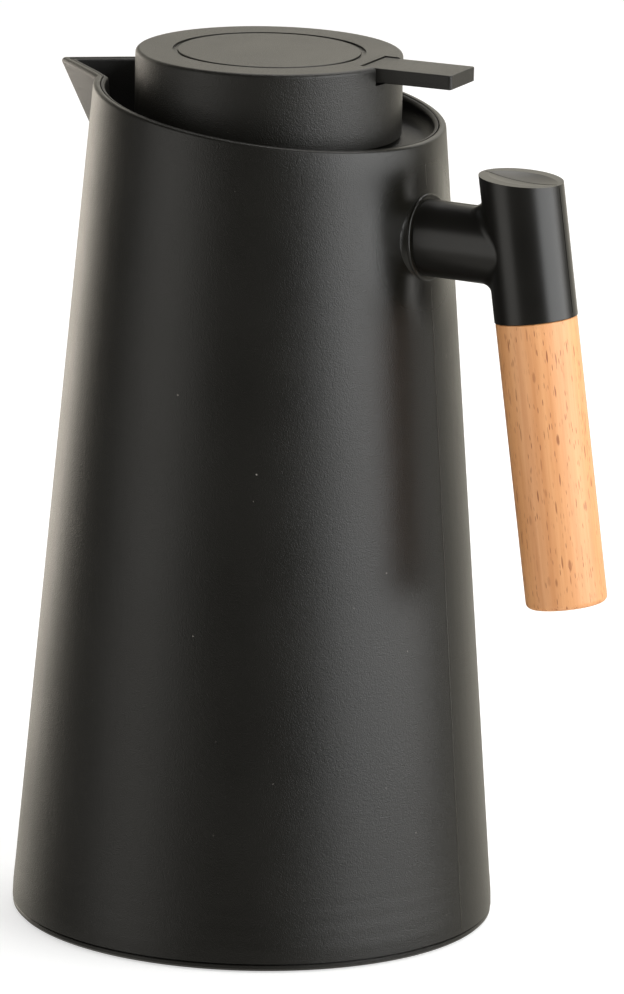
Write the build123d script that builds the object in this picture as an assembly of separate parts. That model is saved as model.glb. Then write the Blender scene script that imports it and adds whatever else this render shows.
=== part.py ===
# Thermal carafe: a tapered plastic jug round a double-walled glass flask, with a
# V-shaped pouring beak, a screw-in stopper lid that pours at the press of a thumb
# lever, and a moulded side arm that carries an upright round wooden grip.
#
# Millimetres. +Z is up, the handle is on +X, the beak on -X, and the carafe stands
# on Z = 0 with its body axis on the Z axis.

import math
import os

from build123d import *

os.makedirs("parts", exist_ok=True)

# Outer body: one straight taper that turns upright close to the foot
BODY_R0 = 75.58            # radius that the taper would have at Z = 0
BODY_TAPER = 0.0823        # loss of radius per millimetre of height
SHELL_BOTTOM = 2.9         # the shell ends here, above the groove over the base ring
FOOT_TUCK = 0.141          # the lower edge stands this far inside the taper
FOOT_BLEND = 13.0          # height below which the wall leaves the straight taper
WALL = 2.2                 # moulded wall of the shell


def body_radius(z):
    """Radius of the straight taper at height z."""
    return BODY_R0 - BODY_TAPER * z


FOOT_R = body_radius(SHELL_BOTTOM) - FOOT_TUCK

# Heights of the upper works, all set out from the floor of the pouring dish
DISH_Z = 246.8
LIP_RISE = 16.1            # rim round the beak above the dish
LID_RISE = 26.5            # top of the lid above the dish
ARM_DROP = 25.3            # arm's middle below the dish
SHELF_DROP = 10.8          # inner shelf of the shell, underside, below the dish
LIP_Z = DISH_Z + LIP_RISE
LID_TOP = DISH_Z + LID_RISE
ARM_Z = DISH_Z - ARM_DROP
SHELF_Z = DISH_Z - SHELF_DROP
FORM_TOP = LIP_Z + 12.1    # uncut forms run to here, above every rim

# Rim: level round the beak, then falling in a straight slope to the handle side
RIM_LEVEL = 3.943          # the slope begins this far inside the taper
RIM_SLOPE = 0.119          # fall of the rim per millimetre towards the handle
RIM_BEND_R = 150.0         # soft bend between the level part and the slope
RIM_EDGE_R = 1.0           # rounded outer edge of the rim
RIM_INNER_R = 0.5          # and its inner edge, over the fine groove
RIM_BREAK_X = RIM_LEVEL - body_radius(LIP_Z)

# Beak: two flat sides that meet in a leaning keel
BEAK_REACH = 21.657        # keel from the taper, at lip height
BEAK_LEAN = 29.5           # keel's angle from upright, degrees
BEAK_HALF_ANGLE = 38.4     # half of the V as seen from above, degrees
BEAK_NOSE_R = 1.4          # rounding of the keel
BEAK_INSET = 1.06          # level offset of a beak side for 1 mm of wall
BEAK_SIDE = 55.6           # the wedge runs this far back from its keel
BEAK_DEPTH = 57.9          # and this far down from the lip, into the body
BEAK_TIP_R = body_radius(LIP_Z) + BEAK_REACH
BEAK_ROOT_X = BEAK_SIDE - BEAK_TIP_R

# Handle: round arm on the body, tilted round head, wooden grip under it
ARM_WALL_X = body_radius(ARM_Z)
ARM_R = 11.8
BOSS_MARGIN = 1.1          # flat seat of the arm, wider than the arm
BOSS_PROUD = 0.5           # how far the seat stands off the taper
HANDLE_REACH = 34.9        # handle axis from the wall, at its datum
HANDLE_DROP = 1.5          # datum of the handle axis below the arm's middle
HANDLE_TILT = 8.7          # the lower end leans outwards, degrees
HEAD_R = 12.8
HEAD_BELOW = 19.1          # head's lower face, along the handle axis from the datum
HEAD_ABOVE = 23.7          # a point on the head's sloping top, above the datum
HEAD_TOP_IN = 3.05         # and inwards of it
HEAD_TOP_FALL = 3.3        # the top falls outwards, degrees
HEAD_DISH_R = 70.0         # shallow thumb hollow in the top
HEAD_DISH_SAG = 1.15
HEAD_DISH_CREASE = 4.0     # its two halves meet in a soft crease at the parting plane
ARM_FILLET = 4.0
GRIP_STEP = 0.25           # the grip is this much slimmer than the head, all round
GRIP_GAP = 0.2             # joint line between head and grip
GRIP_LENGTH = 88.7
GRIP_EDGE_R = 1.8
BOSS_R = ARM_R + BOSS_MARGIN
HANDLE_X = ARM_WALL_X + HANDLE_REACH
HANDLE_Z = ARM_Z - HANDLE_DROP
HEAD_TOP_X = HANDLE_X - HEAD_TOP_IN
HEAD_TOP_Z = HANDLE_Z + HEAD_ABOVE
GRIP_R = HEAD_R - GRIP_STEP

# Handle fixings
FIT = 0.05                 # clearance all round on pins, studs and screws
PLATE_DEPTH = 6.35         # seat of the backing plate, in from the shell's outside
PLATE_T = 1.5
PLATE_W = 15.0
PLATE_GAP = 0.4            # its upper end clears the neck ring's flange
SCREW_PITCH = 12.0
SCREW_R = 2.0
SCREW_HEAD_R = 3.8
SCREW_HEAD_H = 2.6
SCREW_REACH = 13.65        # the screws end this far outside the shell
INSERT_R = 3.2
INSERT_START = 3.15        # arm inserts, from the shell's outside
ARM_INSERT_LENGTH = 11.5
STUD_R = 3.0
STUD_INSERT_R = 4.6
STUD_SPAN = (-14.0, 14.0)  # about the joint of head and grip, along the axis
INSERT_LENGTH = 12.0
PLATE_X = ARM_WALL_X - PLATE_DEPTH
SEAT_W = PLATE_W + 7.0     # flat seat that the plate lies on
SCREW_END_X = ARM_WALL_X + SCREW_REACH
INSERT_SPAN = (ARM_WALL_X + INSERT_START, ARM_WALL_X + INSERT_START + ARM_INSERT_LENGTH)

# Neck ring, gasket and pouring collar
NECK_IN_R = 26.5           # inside of the flask's glass neck
SEAT_STEP = 3.8            # width of the shoulder that the stopper seals on
SEAT_IN_R = NECK_IN_R + 0.7
BORE_R = SEAT_IN_R + SEAT_STEP
NECK_WALL = 2.5
NECK_TOP = DISH_Z - 0.4
FLANGE_W = 9.5
FLANGE_T = 2.6
FLANGE_R = BORE_R + NECK_WALL + FLANGE_W
SHELF_T = 2.5
SHELF_IN_R = BORE_R + NECK_WALL + 0.7
SEAT_Z = SHELF_Z - 5.0
GASKET_Z = SEAT_Z - 2.5
GASKET_T = 2.0
COLLAR_GAP = 0.25          # fine groove between shell and collar at the rim
COLLAR_WALL = 1.3
COLLAR_EDGE_R = 1.05       # rounded inner edge, where the collar falls away from the groove
COLLAR_DROP = 0.25         # collar's rim sits this far below the shell's
DISH_T = 1.8
DISH_FILLET = 3.8          # rounded foot of the dish
COLLAR_LEG_R = FLANGE_R - 3.0

# Glass flask
GLASS = 1.5
VACUUM = 3.4               # space between the two bottles
GLASS_LIP_Z = GASKET_Z - GASKET_T
LIP_H = 2.0
NECK_LENGTH = 12.5         # straight part of the neck
SHOULDER_H = 46.0          # round shoulder under it
FLASK_ROOM = 7.1536        # air between the flask's shoulder and the shell
NECK_Z = GLASS_LIP_Z - NECK_LENGTH
SHOULDER_Z = NECK_Z - SHOULDER_H
FLASK_IN_R = body_radius(SHOULDER_Z) - WALL - FLASK_ROOM - 2 * GLASS - VACUUM
FLASK_FLOOR_Z = 24.0
FLOOR_BEND_Z = 50.0
TIP_R = 4.0                # sealed pumping tip under the outer bottle
TIP_Z = 10.5
SPACER_R = 4.0
SPACER_Z = 80.0

# Base
BASE_STEP = 0.2            # base ring inside the shell's lower edge
BASE_RING_W = 0.9          # its width outside the groove
BASE_RING_TOP = 2.4
BASE_UNDER = 0.5           # the base ring clears the table by this much
BASE_PLATE_T = 2.4
BASE_COLLAR_TOP = 14.0
BASE_COLLAR_ROOM = 0.628   # upstand that screws into the shell, clear of its wall
BASE_COLLAR_WALL = 2.2
BASE_R = FOOT_R - BASE_STEP
GROOVE_R = BASE_R - BASE_RING_W
BASE_COLLAR_R = body_radius(BASE_COLLAR_TOP) - WALL - BASE_COLLAR_ROOM
PAD_MARGIN = 9.0
PAD_R = BASE_R - PAD_MARGIN
PAD_T = 1.3
CUSHION_R = (14.0, 32.0)
CUSHION_CUP_R = (CUSHION_R[1] + 0.3, CUSHION_R[1] + 2.3)
CUSHION_CUP_TOP = 10.0

# Lid, screwed home a few degrees past the handle as in the photograph
LID_TURN = 5.1
LID_R = 41.2
LID_WALL = 2.2
LID_BOTTOM = DISH_Z + 1.2
LID_TOP_T = 3.0
LID_EDGE_R = 1.3
RIM_WIDTH = 11.4           # flat top of the lid outside the groove
GROOVE_W = 1.6
GROOVE_OUT_R = LID_R - RIM_WIDTH
DISC_R = GROOVE_OUT_R - GROOVE_W
GROOVE_DEPTH = 0.6
DISC_T = 1.6

# Stopper, its seal and the pouring valve
NOSE_R = NECK_IN_R - 0.9
NOSE_WALL = 2.2
NOSE_IN_R = NOSE_R - NOSE_WALL
NOSE_BOTTOM = SEAT_Z - 13.0
THREAD_ROOM = 1.4          # room for the thread between barrel and bore
BARREL_WALL = 2.8
BARREL_R = BORE_R - THREAD_ROOM
BARREL_IN_R = BARREL_R - BARREL_WALL
SEAL_R = (SEAT_IN_R + 0.4, BORE_R - 0.3)
SEAL_Z = (SEAT_Z + 0.1, SEAT_Z + 2.2)
SHOULDER_TOP = SEAL_Z[1] + 0.1
BARREL_TOP = DISH_Z - 0.2
WINDOW_H = 3.5
WINDOW_BAR = 0.8           # ring left over the windows
CARRIER_Z = BARREL_TOP + WINDOW_H + WINDOW_BAR
CARRIER_T = 2.4
CARRIER_R = LID_R - LID_WALL - 0.3
POSTS = 6
POST_W = 5.0
FIXING_BOSS_R = 3.0
FIXING_R = BARREL_R - FIXING_BOSS_R - 0.2
FIXING_SCREW_R = 1.25
FIXING_HEAD_R = 2.4
FIXING_LENGTH = 13.0
BEAD_Z = (CARRIER_Z - 1.2, CARRIER_Z - 0.3)    # snap bead inside the lid's skirt
BEAD_DEPTH = 0.7
FLOOR_Z = SEAT_Z - 9.0
FLOOR_T = 2.4
VALVE_HOLE_R = 13.0
SEAT_RING_R = VALVE_HOLE_R + 1.6
SEAT_RING_TOP = FLOOR_Z + 3.3
VALVE_SEAL_R = SEAT_RING_R + 1.8
VALVE_SEAL_Z = (SEAT_RING_TOP + 0.05, SEAT_RING_TOP + 1.0)
VALVE_HEAD_R = VALVE_SEAL_R + 0.6
VALVE_HEAD_TOP = VALVE_SEAL_Z[1] + 2.7
STEM_R = 2.0
STEM_NECK_R = STEM_R - 0.4
STEM_RUN = 0.08
FORK_TOP = CARRIER_Z + CARRIER_T + 4.7
COLLAR_SEAT = FORK_TOP + 0.3    # shoulder that the lifting collar rests on
STEM_TOP = COLLAR_SEAT + 6.1
LIFT_COLLAR_R = 6.5
LIFT_COLLAR_T = 1.2
CLIP_R = STEM_NECK_R + 2.0
CLIP_T = 0.7
GUIDE_BOTTOM = CARRIER_Z - 7.4
ORING_R = STEM_R + 1.8
ORING_Z = (GUIDE_BOTTOM + 0.2, GUIDE_BOTTOM + 2.2)
GUIDE_R = ORING_R + 1.2
SPRING_R = LIFT_COLLAR_R - 1.4  # to the middle of the wire
SPRING_WIRE_R = 0.4
SPRING_TURNS = 5.5

# Thumb lever, its pin and its fork
LEVER_REACH = 23.7         # thumb plate beyond the lid's side
LEVER_W = 18.4
LEVER_T = 4.45
LEVER_CORNER_R = 1.0
LEVER_TOP = LID_TOP - 0.3
LEVER_END_X = LID_R + LEVER_REACH
PIVOT_IN = 6.2             # hinge axis inside the lid's side
PIVOT_DROP = 8.2           # and below the plate's top
PIVOT_X = LID_R - PIVOT_IN
PIVOT_Z = LEVER_TOP - PIVOT_DROP
LEVER_IN_X = PIVOT_X
NOTCH_W = LEVER_W + 0.6
NOTCH_IN_X = LEVER_IN_X - 0.35
NOTCH_BOTTOM = LEVER_TOP - LEVER_T - 1.05
HUB_R = 3.0
HUB_W = 11.0
PIN_R = 1.5
PIN_RUN = 0.06             # running clearance of the lever on its pin
EAR_W = 2.6
EAR_Y = HUB_W / 2 + 0.4    # inner face of each ear
EAR_R = 3.1
PIN_LENGTH = 2 * (EAR_Y + EAR_W + 0.3)
TAIL_W = 6.4
FORK_PAD_R = 3.0
TINE_Y = (STEM_R + 0.9, STEM_R + 3.9)


def revolved(points):
    """Solid of revolution about Z from (radius, height) corners."""
    outline = Plane.XZ * make_face(Polyline(*points, close=True))
    return revolve(outline, Axis.Z)


def tube(r_out, r_in, z0, z1):
    """Plain ring between two heights."""
    return revolved([(r_in, z0), (r_out, z0), (r_out, z1), (r_in, z1)])


def disc(r, z0, z1, x=0.0, y=0.0):
    """Plain round between two heights."""
    return Pos(x, y, z0) * Cylinder(r, z1 - z0, align=(Align.CENTER, Align.CENTER, Align.MIN))


def rod_x(r, x0, x1, y=0.0, z=0.0):
    """Round bar along X."""
    bar = Cylinder(r, x1 - x0, align=(Align.CENTER, Align.CENTER, Align.MIN))
    return Pos(x0, y, z) * Rot(0, 90, 0) * bar


def rod_y(r, length, x, z):
    """Round bar along Y, centred on the X-Z plane."""
    return Pos(x, 0, z) * Rot(90, 0, 0) * Cylinder(r, length)


def block(x0, x1, y0, y1, z0, z1):
    """Box between six faces."""
    middle = Pos((x0 + x1) / 2, (y0 + y1) / 2, (z0 + z1) / 2)
    return middle * Box(x1 - x0, y1 - y0, z1 - z0)


def around(shape, count, start=0.0):
    """Copies of a shape spaced evenly about Z."""
    return [Rot(0, 0, start + 360.0 * i / count) * shape for i in range(count)]


def side_profile(points, half_width):
    """Solid from (x, z) corners, as wide on both sides of the X-Z plane."""
    outline = Plane.XZ * make_face(Polyline(*points, close=True))
    return extrude(outline, half_width, both=True)


# Handle datum: local Z runs up along the tilted axis of the grip
TILT = math.radians(HANDLE_TILT)
HANDLE_AXIS = Plane(
    origin=(HANDLE_X, 0, HANDLE_Z),
    x_dir=(math.cos(TILT), 0, math.sin(TILT)),
    z_dir=(-math.sin(TILT), 0, math.cos(TILT)),
)
GRIP_TOP_S = -(HEAD_BELOW + GRIP_GAP)
GRIP_END_S = GRIP_TOP_S - GRIP_LENGTH

# Seat of the arm: a plane that leans with the taper; local Z points out of the body
LEAN = math.atan(BODY_TAPER)
ARM_SEAT = Plane(
    origin=(body_radius(ARM_Z), 0, ARM_Z),
    x_dir=(0, 1, 0),
    z_dir=(math.cos(LEAN), 0, math.sin(LEAN)),
)


def beak_form(inset, z_low):
    """Wedge of the beak, drawn in by inset: a level V swept down along the keel."""
    half = math.radians(BEAK_HALF_ANGLE)
    lean = math.tan(math.radians(BEAK_LEAN))
    tip = -BEAK_TIP_R - (FORM_TOP - LIP_Z) * lean + inset * BEAK_INSET / math.sin(half)
    root = BEAK_ROOT_X - (FORM_TOP - LIP_Z) * lean
    spread = (root - tip) * math.tan(half)
    v = make_face(Polyline((tip, 0), (root, spread), (root, -spread), close=True))
    nose = v.vertices().sort_by(Axis.X)[0]
    v = fillet(nose, max(BEAK_NOSE_R - 0.4 * inset, 0.4))
    drop = FORM_TOP - z_low
    return extrude(Pos(0, 0, FORM_TOP) * v, math.hypot(drop, drop * lean), dir=(lean, 0, -1))


def body_form(inset, z_low):
    """Outer shape of the body with its beak, drawn in by inset on every side."""
    top_r = body_radius(FORM_TOP) - inset
    if z_low < FOOT_BLEND:
        foot = FOOT_R - inset
        bend = body_radius(FOOT_BLEND) - inset
        middle_z = (z_low + FOOT_BLEND) / 2
        middle = (foot + bend) / 2 + 0.12
        edges = [
            Line((0, z_low), (foot, z_low)),
            ThreePointArc((foot, z_low), (middle, middle_z), (bend, FOOT_BLEND)),
            Line((bend, FOOT_BLEND), (top_r, FORM_TOP)),
            Line((top_r, FORM_TOP), (0, FORM_TOP)),
            Line((0, FORM_TOP), (0, z_low)),
        ]
        cone = revolve(Plane.XZ * make_face(edges), Axis.Z)
    else:
        low_r = body_radius(z_low) - inset
        cone = revolved([(0, z_low), (low_r, z_low), (top_r, FORM_TOP), (0, FORM_TOP)])
    return cone + beak_form(inset, max(z_low, LIP_Z - BEAK_DEPTH))


def above_rim(drop=0.0):
    """Everything above the rim line: level at the beak, sloping to the handle."""
    far = 2 * BODY_R0
    outline = make_face(Polyline(
        (-far, LIP_Z - drop),
        (RIM_BREAK_X, LIP_Z - drop),
        (far, LIP_Z - RIM_SLOPE * (far - RIM_BREAK_X) - drop),
        (far, FORM_TOP + 10),
        (-far, FORM_TOP + 10),
        close=True,
    ))
    corner = outline.vertices().sort_by_distance((RIM_BREAK_X, LIP_Z - drop))[0]
    outline = fillet(corner, RIM_BEND_R)
    return extrude(Plane.XZ * outline, far, both=True)


def level_depth(point):
    """How far inside the outer shape a point lies, measured on the level."""
    half = math.radians(BEAK_HALF_ANGLE)
    in_cone = body_radius(point.Z) - math.hypot(point.X, point.Y)
    in_beak = (point.X + BEAK_TIP_R) * math.sin(half) - abs(point.Y) * math.cos(half)
    return max(in_cone, in_beak)


def rim_line(part, inset):
    """Edges of the rim that run at the given inset from the outside."""
    tops = [f for f in part.faces() if f.center().Z > DISH_Z + 2 and f.normal_at().Z > 0.9]
    edges = [e for f in tops for e in f.edges()]
    return [e for e in edges if abs(level_depth(e @ 0.5) - inset) < 0.6]


def arm_boss():
    """Seat of the arm: a flat round that flares back into the taper."""
    r = BOSS_R
    edges = [
        Line((0, -8), (r + 5.0, -8)),
        Line((r + 5.0, -8), (r + 5.0, -3.6)),
        ThreePointArc((r + 5.0, -3.6), (r + 1.9, -1.9), (r + 0.6, BOSS_PROUD - 0.9)),
        ThreePointArc((r + 0.6, BOSS_PROUD - 0.9), (r + 0.4, BOSS_PROUD - 0.2), (r, BOSS_PROUD)),
        Line((r, BOSS_PROUD), (0, BOSS_PROUD)),
        Line((0, BOSS_PROUD), (0, -8)),
    ]
    return ARM_SEAT * revolve(Plane.XZ * make_face(edges), Axis.Z)


def outer_shell():
    """Tapered housing with beak, inner shelf, arm seat and screw holes."""
    form = body_form(0, SHELL_BOTTOM) + arm_boss()
    hollow = body_form(WALL, SHELL_BOTTOM - 5)
    low = 2 * ARM_Z - SHELF_Z - 1.5
    seat = block(PLATE_X, ARM_WALL_X + 1, -SEAT_W / 2, SEAT_W / 2, low, SHELF_Z)
    seat &= body_form(0.5, ARM_Z - 30)
    shelf = tube(body_radius(SHELF_Z) - 1.0, SHELF_IN_R, SHELF_Z, SHELF_Z + SHELF_T)
    shell = form - hollow + seat + shelf
    shell -= above_rim()
    shell = fillet(rim_line(shell, 0), RIM_EDGE_R)
    shell = fillet(rim_line(shell, WALL), RIM_INNER_R)
    for side in (-1, 1):
        z = ARM_Z + side * SCREW_PITCH / 2
        shell -= rod_x(SCREW_R + FIT, PLATE_X - 5, SCREW_END_X, z=z)
    return shell


def dish_hollow():
    """Space inside the collar: a dish with a rounded foot, open into the beak."""
    inset = WALL + COLLAR_GAP + COLLAR_WALL
    low_r = body_radius(DISH_Z) - inset
    top_r = body_radius(FORM_TOP) - inset
    half = make_face(Polyline((0, DISH_Z), (low_r, DISH_Z), (top_r, FORM_TOP), (0, FORM_TOP),
                              close=True))
    foot = half.vertices().sort_by_distance((low_r, DISH_Z))[0]
    dish = revolve(Plane.XZ * fillet(foot, DISH_FILLET), Axis.Z)
    return dish + beak_form(inset, DISH_Z)


def pouring_collar():
    """Dish between body and lid, running out into the lining of the beak."""
    outer = body_form(WALL + COLLAR_GAP, DISH_Z - DISH_T)
    collar = outer - dish_hollow()
    collar -= above_rim(COLLAR_DROP)
    collar = fillet(rim_line(collar, WALL + COLLAR_GAP + COLLAR_WALL), COLLAR_EDGE_R)
    leg = tube(COLLAR_LEG_R + 2.0, COLLAR_LEG_R, SHELF_Z + SHELF_T, DISH_Z - 0.5)
    collar += leg
    return collar - disc(BORE_R + NECK_WALL + 0.15, SHELF_Z, DISH_Z + 1)


def neck_ring():
    """Bore for the stopper, with the shoulder it seals on and a fixing flange."""
    outer = BORE_R + NECK_WALL
    return revolved([
        (SEAT_IN_R, GASKET_Z),
        (outer, GASKET_Z),
        (outer, SHELF_Z - FLANGE_T),
        (FLANGE_R, SHELF_Z - FLANGE_T),
        (FLANGE_R, SHELF_Z),
        (outer, SHELF_Z),
        (outer, NECK_TOP),
        (BORE_R + 0.6, NECK_TOP),
        (BORE_R, NECK_TOP - 0.6),
        (BORE_R, SEAT_Z),
        (SEAT_IN_R, SEAT_Z),
    ])


def neck_gasket():
    """Soft ring between the glass lip and the neck ring."""
    ring = tube(BORE_R + 1.0, NECK_IN_R + 0.3, GLASS_LIP_Z, GASKET_Z)
    return fillet(ring.edges().filter_by(GeomType.CIRCLE), 0.4)


def bottle(r_body, r_neck, floor_z, top_z):
    """Solid bottle shape: domed floor, straight body, round shoulder, straight neck."""
    grow = r_body - FLASK_IN_R
    edges = [
        Spline((0, floor_z), (r_body * 0.72, floor_z + 7), (r_body, FLOOR_BEND_Z),
               tangents=((1, 0), (0, 1))),
        Line((r_body, FLOOR_BEND_Z), (r_body, SHOULDER_Z)),
        Spline((r_body, SHOULDER_Z), (r_neck, NECK_Z + 0.4 * grow), tangents=((0, 1), (0, 1))),
        Line((r_neck, NECK_Z + 0.4 * grow), (r_neck, top_z)),
        Line((r_neck, top_z), (0, top_z)),
        Line((0, top_z), (0, floor_z)),
    ]
    return revolve(Plane.XZ * make_face(edges), Axis.Z)


def inner_bottle():
    """Inner glass bottle, turned out at the lip to close the vacuum space."""
    inside = bottle(FLASK_IN_R, NECK_IN_R, FLASK_FLOOR_Z, GLASS_LIP_Z + 1)
    outside = bottle(FLASK_IN_R + GLASS, NECK_IN_R + GLASS, FLASK_FLOOR_Z - GLASS, GLASS_LIP_Z)
    lip = disc(NECK_IN_R + 2 * GLASS + 2.0, GLASS_LIP_Z - LIP_H, GLASS_LIP_Z)
    lip = fillet(lip.edges().sort_by(Axis.Z)[-1], 0.8)
    return outside + lip - inside


def outer_bottle():
    """Outer glass bottle with the sealed tip it was pumped out through."""
    gap = GLASS + VACUUM
    inside = bottle(FLASK_IN_R + gap, NECK_IN_R + GLASS + 2.0, FLASK_FLOOR_Z - gap, GLASS_LIP_Z)
    outside = bottle(FLASK_IN_R + gap + GLASS, NECK_IN_R + 2 * GLASS + 2.0,
                     FLASK_FLOOR_Z - gap - GLASS, GLASS_LIP_Z - LIP_H)
    tip = revolved([(0, FLASK_FLOOR_Z), (TIP_R, FLASK_FLOOR_Z), (TIP_R, TIP_Z + 4),
                    (1.0, TIP_Z), (0, TIP_Z)])
    return outside + tip - inside


def liner_spacers():
    """Three small pads that keep the two bottles apart."""
    r_in = FLASK_IN_R + GLASS
    ring = tube(r_in + VACUUM - 0.05, r_in + 0.05, SPACER_Z - 10, SPACER_Z + 10)
    plug = rod_x(SPACER_R, r_in - 5, r_in + VACUUM + 5, z=SPACER_Z)
    return [pad & ring for pad in around(plug, 3, 30)]


def base_plate():
    """Screw-in floor with its visible base ring, upstand and cushion cup."""
    plate = revolved([
        (0, PAD_T),
        (PAD_R + 0.3, PAD_T),
        (PAD_R + 0.3, BASE_UNDER),
        (BASE_R - 0.8, BASE_UNDER),
        (BASE_R, BASE_UNDER + 0.8),
        (BASE_R, BASE_RING_TOP - 0.2),
        (BASE_R - 0.2, BASE_RING_TOP),
        (GROOVE_R, BASE_RING_TOP),
        (GROOVE_R, SHELL_BOTTOM),
        (BASE_COLLAR_R, SHELL_BOTTOM),
        (BASE_COLLAR_R, BASE_COLLAR_TOP - 0.8),
        (BASE_COLLAR_R - 0.8, BASE_COLLAR_TOP),
        (BASE_COLLAR_R - BASE_COLLAR_WALL, BASE_COLLAR_TOP),
        (BASE_COLLAR_R - BASE_COLLAR_WALL, PAD_T + BASE_PLATE_T),
        (0, PAD_T + BASE_PLATE_T),
    ])
    top = PAD_T + BASE_PLATE_T
    plate += tube(CUSHION_CUP_R[1], CUSHION_CUP_R[0], top - 0.5, CUSHION_CUP_TOP)
    rib = block(CUSHION_CUP_R[1] - 0.5, BASE_COLLAR_R - 1.5, -0.9, 0.9, top - 0.5, top + 4)
    for one in around(rib, 8):
        plate += one
    return plate


def base_pad():
    """Non-slip foot glued into the recess under the base."""
    pad = disc(PAD_R, 0, PAD_T)
    return fillet(pad.edges().sort_by(Axis.Z)[0], 0.4)


def base_cushion():
    """Soft ring that presses the flask up against the neck gasket."""
    top = PAD_T + BASE_PLATE_T
    ring = tube(CUSHION_R[1], CUSHION_R[0], top, FLASK_FLOOR_Z + 2)
    grow = GLASS + VACUUM + GLASS + 0.1
    flask = bottle(FLASK_IN_R + grow, NECK_IN_R, FLASK_FLOOR_Z - grow, GLASS_LIP_Z)
    return ring - flask


def arm_bracket():
    """Moulded arm and head in one piece, bored for its inserts."""
    arm = rod_x(ARM_R, ARM_WALL_X - 9, HANDLE_X - 1.0, z=ARM_Z)
    head = HANDLE_AXIS * (Pos(0, 0, -HEAD_BELOW) * Cylinder(
        HEAD_R, HEAD_BELOW + 34, align=(Align.CENTER, Align.CENTER, Align.MIN)))
    bracket = arm + head
    joint = [e for e in bracket.edges()
             if e.geom_type not in (GeomType.CIRCLE, GeomType.LINE)]
    bracket = fillet(joint, ARM_FILLET)
    fall = math.radians(HEAD_TOP_FALL)
    top = Plane(
        origin=(HEAD_TOP_X, 0, HEAD_TOP_Z),
        x_dir=(math.cos(fall), 0, -math.sin(fall)),
        z_dir=(math.sin(fall), 0, math.cos(fall)),
    )
    far = 2 * HANDLE_REACH
    bracket -= top * (Pos(0, 0, far / 2) * Box(far, far, far))
    hollow = Pos(0, HEAD_DISH_CREASE, HEAD_DISH_R - HEAD_DISH_SAG) * Sphere(HEAD_DISH_R)
    bracket -= top * (hollow & mirror(hollow, about=Plane.XZ))
    bracket -= ARM_SEAT * (Pos(0, 0, BOSS_PROUD - far / 2) * Box(far, far, far))
    for side in (-1, 1):
        z = ARM_Z + side * SCREW_PITCH / 2
        bracket -= rod_x(INSERT_R, ARM_WALL_X - 9, INSERT_SPAN[1], z=z)
    socket = Cylinder(STUD_INSERT_R, INSERT_LENGTH + 3.0,
                      align=(Align.CENTER, Align.CENTER, Align.MIN))
    return bracket - HANDLE_AXIS * (Pos(0, 0, -HEAD_BELOW) * socket)


def backing_plate():
    """Steel plate inside the shell that spreads the load of the arm screws."""
    half_h = SHELF_Z - FLANGE_T - PLATE_GAP - ARM_Z
    plate = block(PLATE_X - PLATE_T, PLATE_X, -PLATE_W / 2, PLATE_W / 2,
                  ARM_Z - half_h, ARM_Z + half_h)
    plate = fillet(plate.edges().filter_by(Axis.X), 3.0)
    for side in (-1, 1):
        z = ARM_Z + side * SCREW_PITCH / 2
        plate -= rod_x(SCREW_R + FIT, PLATE_X - 5, PLATE_X + 5, z=z)
    return plate


def arm_screws():
    """Two screws from inside the shell into the arm."""
    face = PLATE_X - PLATE_T
    screws = []
    for side in (-1, 1):
        z = ARM_Z + side * SCREW_PITCH / 2
        head = rod_x(SCREW_HEAD_R, face - SCREW_HEAD_H, face, z=z)
        head = fillet(head.edges().sort_by(Axis.X)[0], 1.0)
        recess = block(face - SCREW_HEAD_H - 1, face - 1.2, -0.6, 0.6, z - 2.2, z + 2.2)
        screws.append(head + rod_x(SCREW_R, face, SCREW_END_X, z=z) - recess)
    return screws


def arm_inserts():
    """Brass threaded inserts moulded into the arm."""
    inserts = []
    for side in (-1, 1):
        z = ARM_Z + side * SCREW_PITCH / 2
        bar = rod_x(INSERT_R - FIT / 2, *INSERT_SPAN, z=z)
        middle = sum(INSERT_SPAN) / 2
        waist = rod_x(INSERT_R + 1, middle - 1, middle + 1, z=z)
        waist -= rod_x(INSERT_R - 0.5, middle - 2, middle + 2, z=z)
        bore = rod_x(SCREW_R + FIT, INSERT_SPAN[0] - 3, INSERT_SPAN[1] + 3, z=z)
        inserts.append(bar - waist - bore)
    return inserts


def wooden_grip():
    """Turned beech grip, bored from the top for the stud and its insert."""
    grip = Pos(0, 0, GRIP_END_S) * Cylinder(
        GRIP_R, GRIP_LENGTH, align=(Align.CENTER, Align.CENTER, Align.MIN))
    grip = fillet(grip.edges().sort_by(Axis.Z)[0], GRIP_EDGE_R)
    grip = fillet(grip.edges().sort_by(Axis.Z)[-1], 0.4)
    depth = -STUD_SPAN[0] + 2
    grip -= Pos(0, 0, GRIP_TOP_S - INSERT_LENGTH) * Cylinder(
        STUD_INSERT_R, INSERT_LENGTH + 1, align=(Align.CENTER, Align.CENTER, Align.MIN))
    grip -= Pos(0, 0, GRIP_TOP_S - depth) * Cylinder(
        STUD_R + 0.2, depth + 1, align=(Align.CENTER, Align.CENTER, Align.MIN))
    return HANDLE_AXIS * grip


def stud_insert(low):
    """Threaded insert on the handle axis, upwards from low."""
    body = Cylinder(STUD_INSERT_R - FIT / 2, INSERT_LENGTH,
                    align=(Align.CENTER, Align.CENTER, Align.MIN))
    bore = Cylinder(STUD_R + FIT, 60)
    return HANDLE_AXIS * (Pos(0, 0, low) * (body - bore))


def grip_stud():
    """Steel stud that joins head and grip."""
    length = STUD_SPAN[1] - STUD_SPAN[0]
    stud = Cylinder(STUD_R, length, align=(Align.CENTER, Align.CENTER, Align.MIN))
    stud = chamfer(stud.edges(), 0.5)
    return HANDLE_AXIS * (Pos(0, 0, GRIP_TOP_S + STUD_SPAN[0]) * stud)


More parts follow.
